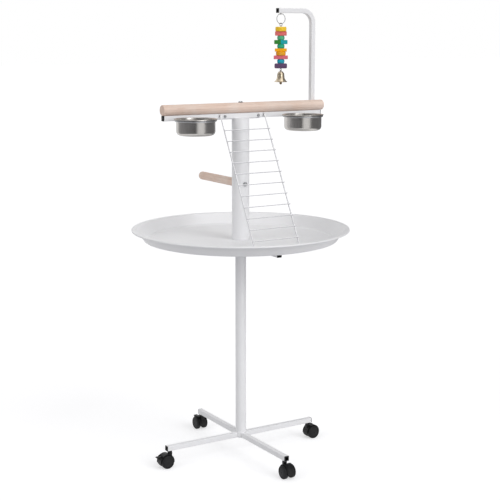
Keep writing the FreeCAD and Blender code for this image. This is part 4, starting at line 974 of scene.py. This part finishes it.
class STAND_OT_toy(bpy.types.Operator):
    """Makes the hanging toy: ring, wire rod with two eyes, stained blocks, discs and beads"""
    bl_idname = "stand.toy"
    bl_label = "Toy"

    def turned_bead(self, radius, height):
        """A barrel bead that stands on the origin."""
        return lathe(((0, 0), (0.79 * radius, 0, 0.8 * MM), (radius, height / 4, 2.5 * MM),
                      (radius, 3 * height / 4, 2.5 * MM), (0.79 * radius, height, 0.8 * MM), (0, height)),
                     steps=56)

    def execute(self, context):
        sizes = context.scene.stand_sizes
        centre = middle("toy_ring")
        low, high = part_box("toy_ring")
        piece("toy_split_ring",
              gather((ring((high.x - low.x) / 2 - 1 * MM, 0.95 * MM, 72), at(*centre, "Y"))),
              "zinc_plated_steel", "toy_hoop", ["toy_ring"])

        low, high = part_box("toy_rod")
        upper = 3.95 * MM
        lower = 2.9 * MM
        upper_z = high.z - upper - 0.9 * MM
        lower_z = low.z + lower + 0.9 * MM
        wire = rod(((centre.x, centre.y, lower_z + lower), (centre.x, centre.y, upper_z - upper)), 0.9 * MM,
                   sides=16)
        skew = Matrix.Translation((centre.x, centre.y, upper_z)) @ Matrix.Rotation(math.radians(45), 4, "Z")
        piece("toy_wire",
              gather((wire, Matrix()), (ring(upper, 0.9 * MM, 40), skew @ at(0, 0, 0, "X")),
                     (ring(lower, 0.9 * MM, 40), at(centre.x, centre.y, lower_z, "Y")),
                     (ring(1.5 * MM, 0.7 * MM, 24), at(centre.x, centre.y, upper_z - upper - 1.6 * MM))),
              "zinc_plated_steel", "toy_stack", ["toy_rod"])

        for name in ("yellow", "orange"):
            low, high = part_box("disc_" + name)
            radius = (high.x - low.x) / 2
            disc = bar(radius, high.z - low.z, 3 * MM, 3 * MM, steps=72)
            piece("toy_disc_" + name, gather((disc, at(centre.x, centre.y, low.z))), "stained_wood_" + name,
                  "toy_stack", ["disc_" + name], crease=50.0)

        turned = Matrix.Rotation(sizes.toy_turn, 4, "Z")
        for name in ("coral", "twotone", "amber", "pink", "purple"):
            low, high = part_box("block_" + name)
            edge = 3.4 * MM if name == "purple" else sizes.block_edge
            length, depth = getattr(sizes, name + "_block")
            shape = gather((block((length, depth, high.z - low.z), edge, 4),
                            Matrix.Translation((low + high) / 2) @ turned))
            finishes = "stained_wood_" + name
            if name == "twotone":
                along = turned @ Vector((1, 0, 0))
                bmesh.ops.bisect_plane(shape, geom=shape.verts[:] + shape.edges[:] + shape.faces[:],
                                       plane_co=centre, plane_no=along)
                for face in shape.faces:
                    face.material_index = 1 if (face.calc_center_median() - centre).dot(along) > 0 else 0
                finishes = ("stained_wood_leaf", "stained_wood_teal")
            piece("toy_block_" + name, shape, finishes, "toy_stack", ["block_" + name], level=True)

        low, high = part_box("toy_beads")
        radius = (high.x - low.x) / 2
        height = 12.5 * MM
        lows = (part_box("block_twotone")[1].z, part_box("block_amber")[1].z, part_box("block_purple")[1].z)
        beads = gather(*[(self.turned_bead(radius, height), at(centre.x, centre.y, z)) for z in lows])
        for face in beads.faces:
            z = face.calc_center_median().z
            face.material_index = 0 if z > lows[0] else 1 if z > lows[1] else 2
        piece("toy_barrel_beads", beads, ("stained_wood_green", "stained_wood_jade", "stained_wood_blue"),
              "toy_stack", ["toy_beads"], crease=50.0)
        return {"FINISHED"}


class STAND_OT_bell(bpy.types.Operator):
    """Spins the bell with its loop, lip bead and ring lines, and hangs the clapper in it"""
    bl_idname = "stand.bell"
    bl_label = "Bell"

    def execute(self, context):
        centre = middle("toy_ring")
        low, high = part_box("bell")
        base = low.z
        top = 31 * MM
        mouth = (high.x - low.x) / 2 - 0.02 * MM
        cup = lathe((
            (0, top), (6.2 * MM, top, 1.6 * MM), mm(10.2, 24.8, 5), mm(10.9, 17.4),
            mm(11.3, 17.0), mm(11.2, 15.8), mm(11.6, 11.2, 8), mm(16.4, 3.0, 2),
            (mouth - 0.4 * MM, 1.9 * MM, 0.5 * MM), (mouth, 0.9 * MM, 0.5 * MM), (mouth - 0.5 * MM, 0, 0.3 * MM),
            (mouth - 1.8 * MM, 0.1 * MM), mm(10.5, 11.2, 8), mm(8.7, 24.2, 3),
            mm(5.6, 29.8), mm(0, 29.8)), steps=72)
        piece("toy_bell",
              gather((cup, at(centre.x, centre.y, base)),
                     (ring(2.8 * MM, 0.8 * MM, 32), at(centre.x, centre.y, high.z - 3.6 * MM, "X")),
                     (ring(2.2 * MM, 0.7 * MM, 24), at(centre.x, centre.y, base + 28.8 * MM, "X"))),
              "aged_brass_bell", "bell_body", ["bell"], crease=50.0)

        low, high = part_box("clapper")
        ball = bmesh.new()
        bmesh.ops.create_uvsphere(ball, u_segments=32, v_segments=20, radius=4 * MM,
                                  matrix=Matrix.Translation((centre.x, centre.y, low.z + 4 * MM)))
        stem = rod(((centre.x, centre.y, low.z + 6 * MM), (centre.x, centre.y, high.z - 5.6 * MM)), 0.7 * MM,
                   sides=14)
        piece("bell_clapper",
              gather((ball, Matrix()), (stem, Matrix()),
                     (ring(2.2 * MM, 0.7 * MM, 24), at(centre.x, centre.y, high.z - 2.9 * MM, "Y"))),
              "aged_brass_clapper", "clapper_body", ["clapper"], crease=50.0)
        return {"FINISHED"}


class STAND_OT_stage(bpy.types.Operator):
    """Sets the pale floor, soft studio light, white surroundings and the camera"""
    bl_idname = "stand.stage"
    bl_label = "Stage"

    def soft_sun(self, name, way, spread, strength):
        """A wide, even light that comes from the given direction."""
        lamp = bpy.data.lights.new(name, "SUN")
        lamp.angle = math.radians(spread)
        lamp.energy = strength
        held = bpy.data.objects.new(name, lamp)
        held.rotation_euler = Vector(way).to_track_quat("Z", "Y").to_euler()
        bpy.context.scene.collection.objects.link(held)

    def seen_directly(self, tree):
        """One for rays from the camera and for rays that a gloss or a clear piece sends on."""
        path = add_node(tree, "ShaderNodeLightPath")
        seen = add_node(tree, "ShaderNodeMath", {"operation": "MAXIMUM"},
                        {0: path.outputs["Is Camera Ray"], 1: path.outputs["Is Glossy Ray"]})
        seen = add_node(tree, "ShaderNodeMath", {"operation": "MAXIMUM"},
                        {0: seen.outputs[0], 1: path.outputs["Is Transmission Ray"]})
        return seen.outputs[0]

    def bare_tree(self, owner):
        """The cleared nodes of a material or a world."""
        owner.use_nodes = True
        owner.node_tree.nodes.clear()
        return owner.node_tree

    def stage_sheet(self, name, shape, material):
        """An object that belongs to the stage and not to the stand."""
        mesh = bpy.data.meshes.new(name)
        shape.to_mesh(mesh)
        shape.free()
        mesh.materials.append(material)
        made = bpy.data.objects.new(name, mesh)
        bpy.context.scene.collection.objects.link(made)
        return made

    def grey_card(self, name, colour, start, end, reach, height):
        """A tall bent card of grey cloth beside the stand, which only shows in its gloss."""
        cloth = bpy.data.materials.new("matt_cloth_" + name)
        tree = self.bare_tree(cloth)
        matt = add_node(tree, "ShaderNodeBsdfDiffuse", {"Color": colour})
        add_node(tree, "ShaderNodeOutputMaterial", None, {"Surface": matt.outputs[0]})
        shape = bmesh.new()
        first = math.radians(start)
        ends = [shape.verts.new((reach * math.cos(first), reach * math.sin(first), z)) for z in (0.02, height)]
        sweep(shape, [*ends, shape.edges.new(ends)], math.radians(end - start), round((end - start) / 4))
        card = self.stage_sheet(name, shape, cloth)
        card.visible_camera = False
        card.visible_diffuse = False
        card.visible_transmission = False
        card.visible_shadow = False

    def execute(self, context):
        scene = context.scene
        scene.view_settings.view_transform = "Standard"

        # Floor: matt pale grey paper. What is seen of it directly is lifted to the white of the
        # surroundings, and the shade that falls on it stays.
        floor = bmesh.new()
        bmesh.ops.create_grid(floor, x_segments=1, y_segments=1, size=40.0)
        paper = bpy.data.materials.new("matt_pale_paper")
        tree = self.bare_tree(paper)
        matt = add_node(tree, "ShaderNodeBsdfDiffuse", {"Color": linear("#CFCFD1")})
        lift = add_node(tree, "ShaderNodeEmission", {"Strength": 0.55})
        both = add_node(tree, "ShaderNodeAddShader", None, {0: matt.outputs[0], 1: lift.outputs[0]})
        shown = add_node(tree, "ShaderNodeMixShader", None,
                         {0: self.seen_directly(tree), 1: matt.outputs[0], 2: both.outputs[0]})
        add_node(tree, "ShaderNodeOutputMaterial", None, {"Surface": shown.outputs[0]})
        self.stage_sheet("studio_floor", floor, paper)

        # Grey cards behind the camera and at both sides give the brushed steel its streaks.
        self.grey_card("left_card", linear("#B4B4B6"), 130, 226, 1.5, 3.0)
        self.grey_card("middle_card", linear("#7E7E80"), 226, 244, 1.5, 3.0)
        self.grey_card("right_card", linear("#9C9C9E"), 288, 410, 1.5, 3.0)

        world = bpy.data.worlds.new("white_surroundings")
        scene.world = world
        tree = self.bare_tree(world)
        light = add_node(tree, "ShaderNodeBackground", {"Color": (1.0, 1.0, 1.0, 1.0), "Strength": 0.42})
        white = add_node(tree, "ShaderNodeBackground", {"Color": (1.0, 1.0, 1.0, 1.0), "Strength": 1.0})
        shown = add_node(tree, "ShaderNodeMixShader", None,
                         {0: self.seen_directly(tree), 1: light.outputs[0], 2: white.outputs[0]})
        add_node(tree, "ShaderNodeOutputWorld", None, {"Surface": shown.outputs[0]})

        self.soft_sun("key_light", (0.267, -0.717, 0.644), 40, 0.85)
        self.soft_sun("front_fill", (0.295, -0.924, 0.244), 40, 0.74)
        self.soft_sun("left_fill", (-0.898, -0.115, 0.424), 40, 0.62)
        self.soft_sun("top_fill", (0.0, 0.0, 1.0), 40, 0.2)

        lens = bpy.data.cameras.new("photo_camera")
        lens.sensor_width = 36.0
        lens.lens = 85.71
        lens.clip_end = 200.0
        camera = bpy.data.objects.new("photo_camera", lens)
        camera.location = (-1.7762, -2.9643, 1.2575)
        camera.rotation_euler = (math.radians(90.0 - 10.39), 0.0, math.radians(-31.387))
        scene.collection.objects.link(camera)
        scene.camera = camera
        return {"FINISHED"}


class STAND_PT_sidebar(bpy.types.Panel):
    """Lists the pieces of the stand with their sizes and colours"""
    bl_idname = "STAND_PT_sidebar"
    bl_label = "Play Stand"
    bl_space_type = "VIEW_3D"
    bl_region_type = "UI"
    bl_category = "Play Stand"

    def draw(self, context):
        column = self.layout.column(align=True)
        for operator in OPERATORS:
            column.operator(operator.bl_idname)
        for group in (context.scene.stand_sizes, context.scene.stand_colours):
            column = self.layout.column(align=True)
            for name in group.bl_rna.properties.keys():
                if name not in ("rna_type", "name"):
                    column.prop(group, name)


OPERATORS = (STAND_OT_base, STAND_OT_column, STAND_OT_tray, STAND_OT_casters, STAND_OT_perches,
             STAND_OT_crossbar_fixings, STAND_OT_bowls, STAND_OT_ladder, STAND_OT_arm, STAND_OT_toy,
             STAND_OT_bell, STAND_OT_stage)
CLASSES = (StandSizes, StandColours) + OPERATORS + (STAND_PT_sidebar,)


def register():
    for item in CLASSES:
        bpy.utils.register_class(item)
    bpy.types.Scene.stand_sizes = bpy.props.PointerProperty(type=StandSizes)
    bpy.types.Scene.stand_colours = bpy.props.PointerProperty(type=StandColours)


def unregister():
    del bpy.types.Scene.stand_colours
    del bpy.types.Scene.stand_sizes
    for item in reversed(CLASSES):
        bpy.utils.unregister_class(item)


def main():
    register()
    bpy.ops.stand.base()
    bpy.ops.stand.column()
    bpy.ops.stand.tray()
    bpy.ops.stand.casters()
    bpy.ops.stand.perches()
    bpy.ops.stand.crossbar_fixings()
    bpy.ops.stand.bowls()
    bpy.ops.stand.ladder()
    bpy.ops.stand.arm()
    bpy.ops.stand.toy()
    bpy.ops.stand.bell()
    bpy.ops.stand.stage()


if __name__ == "__main__":
    main()
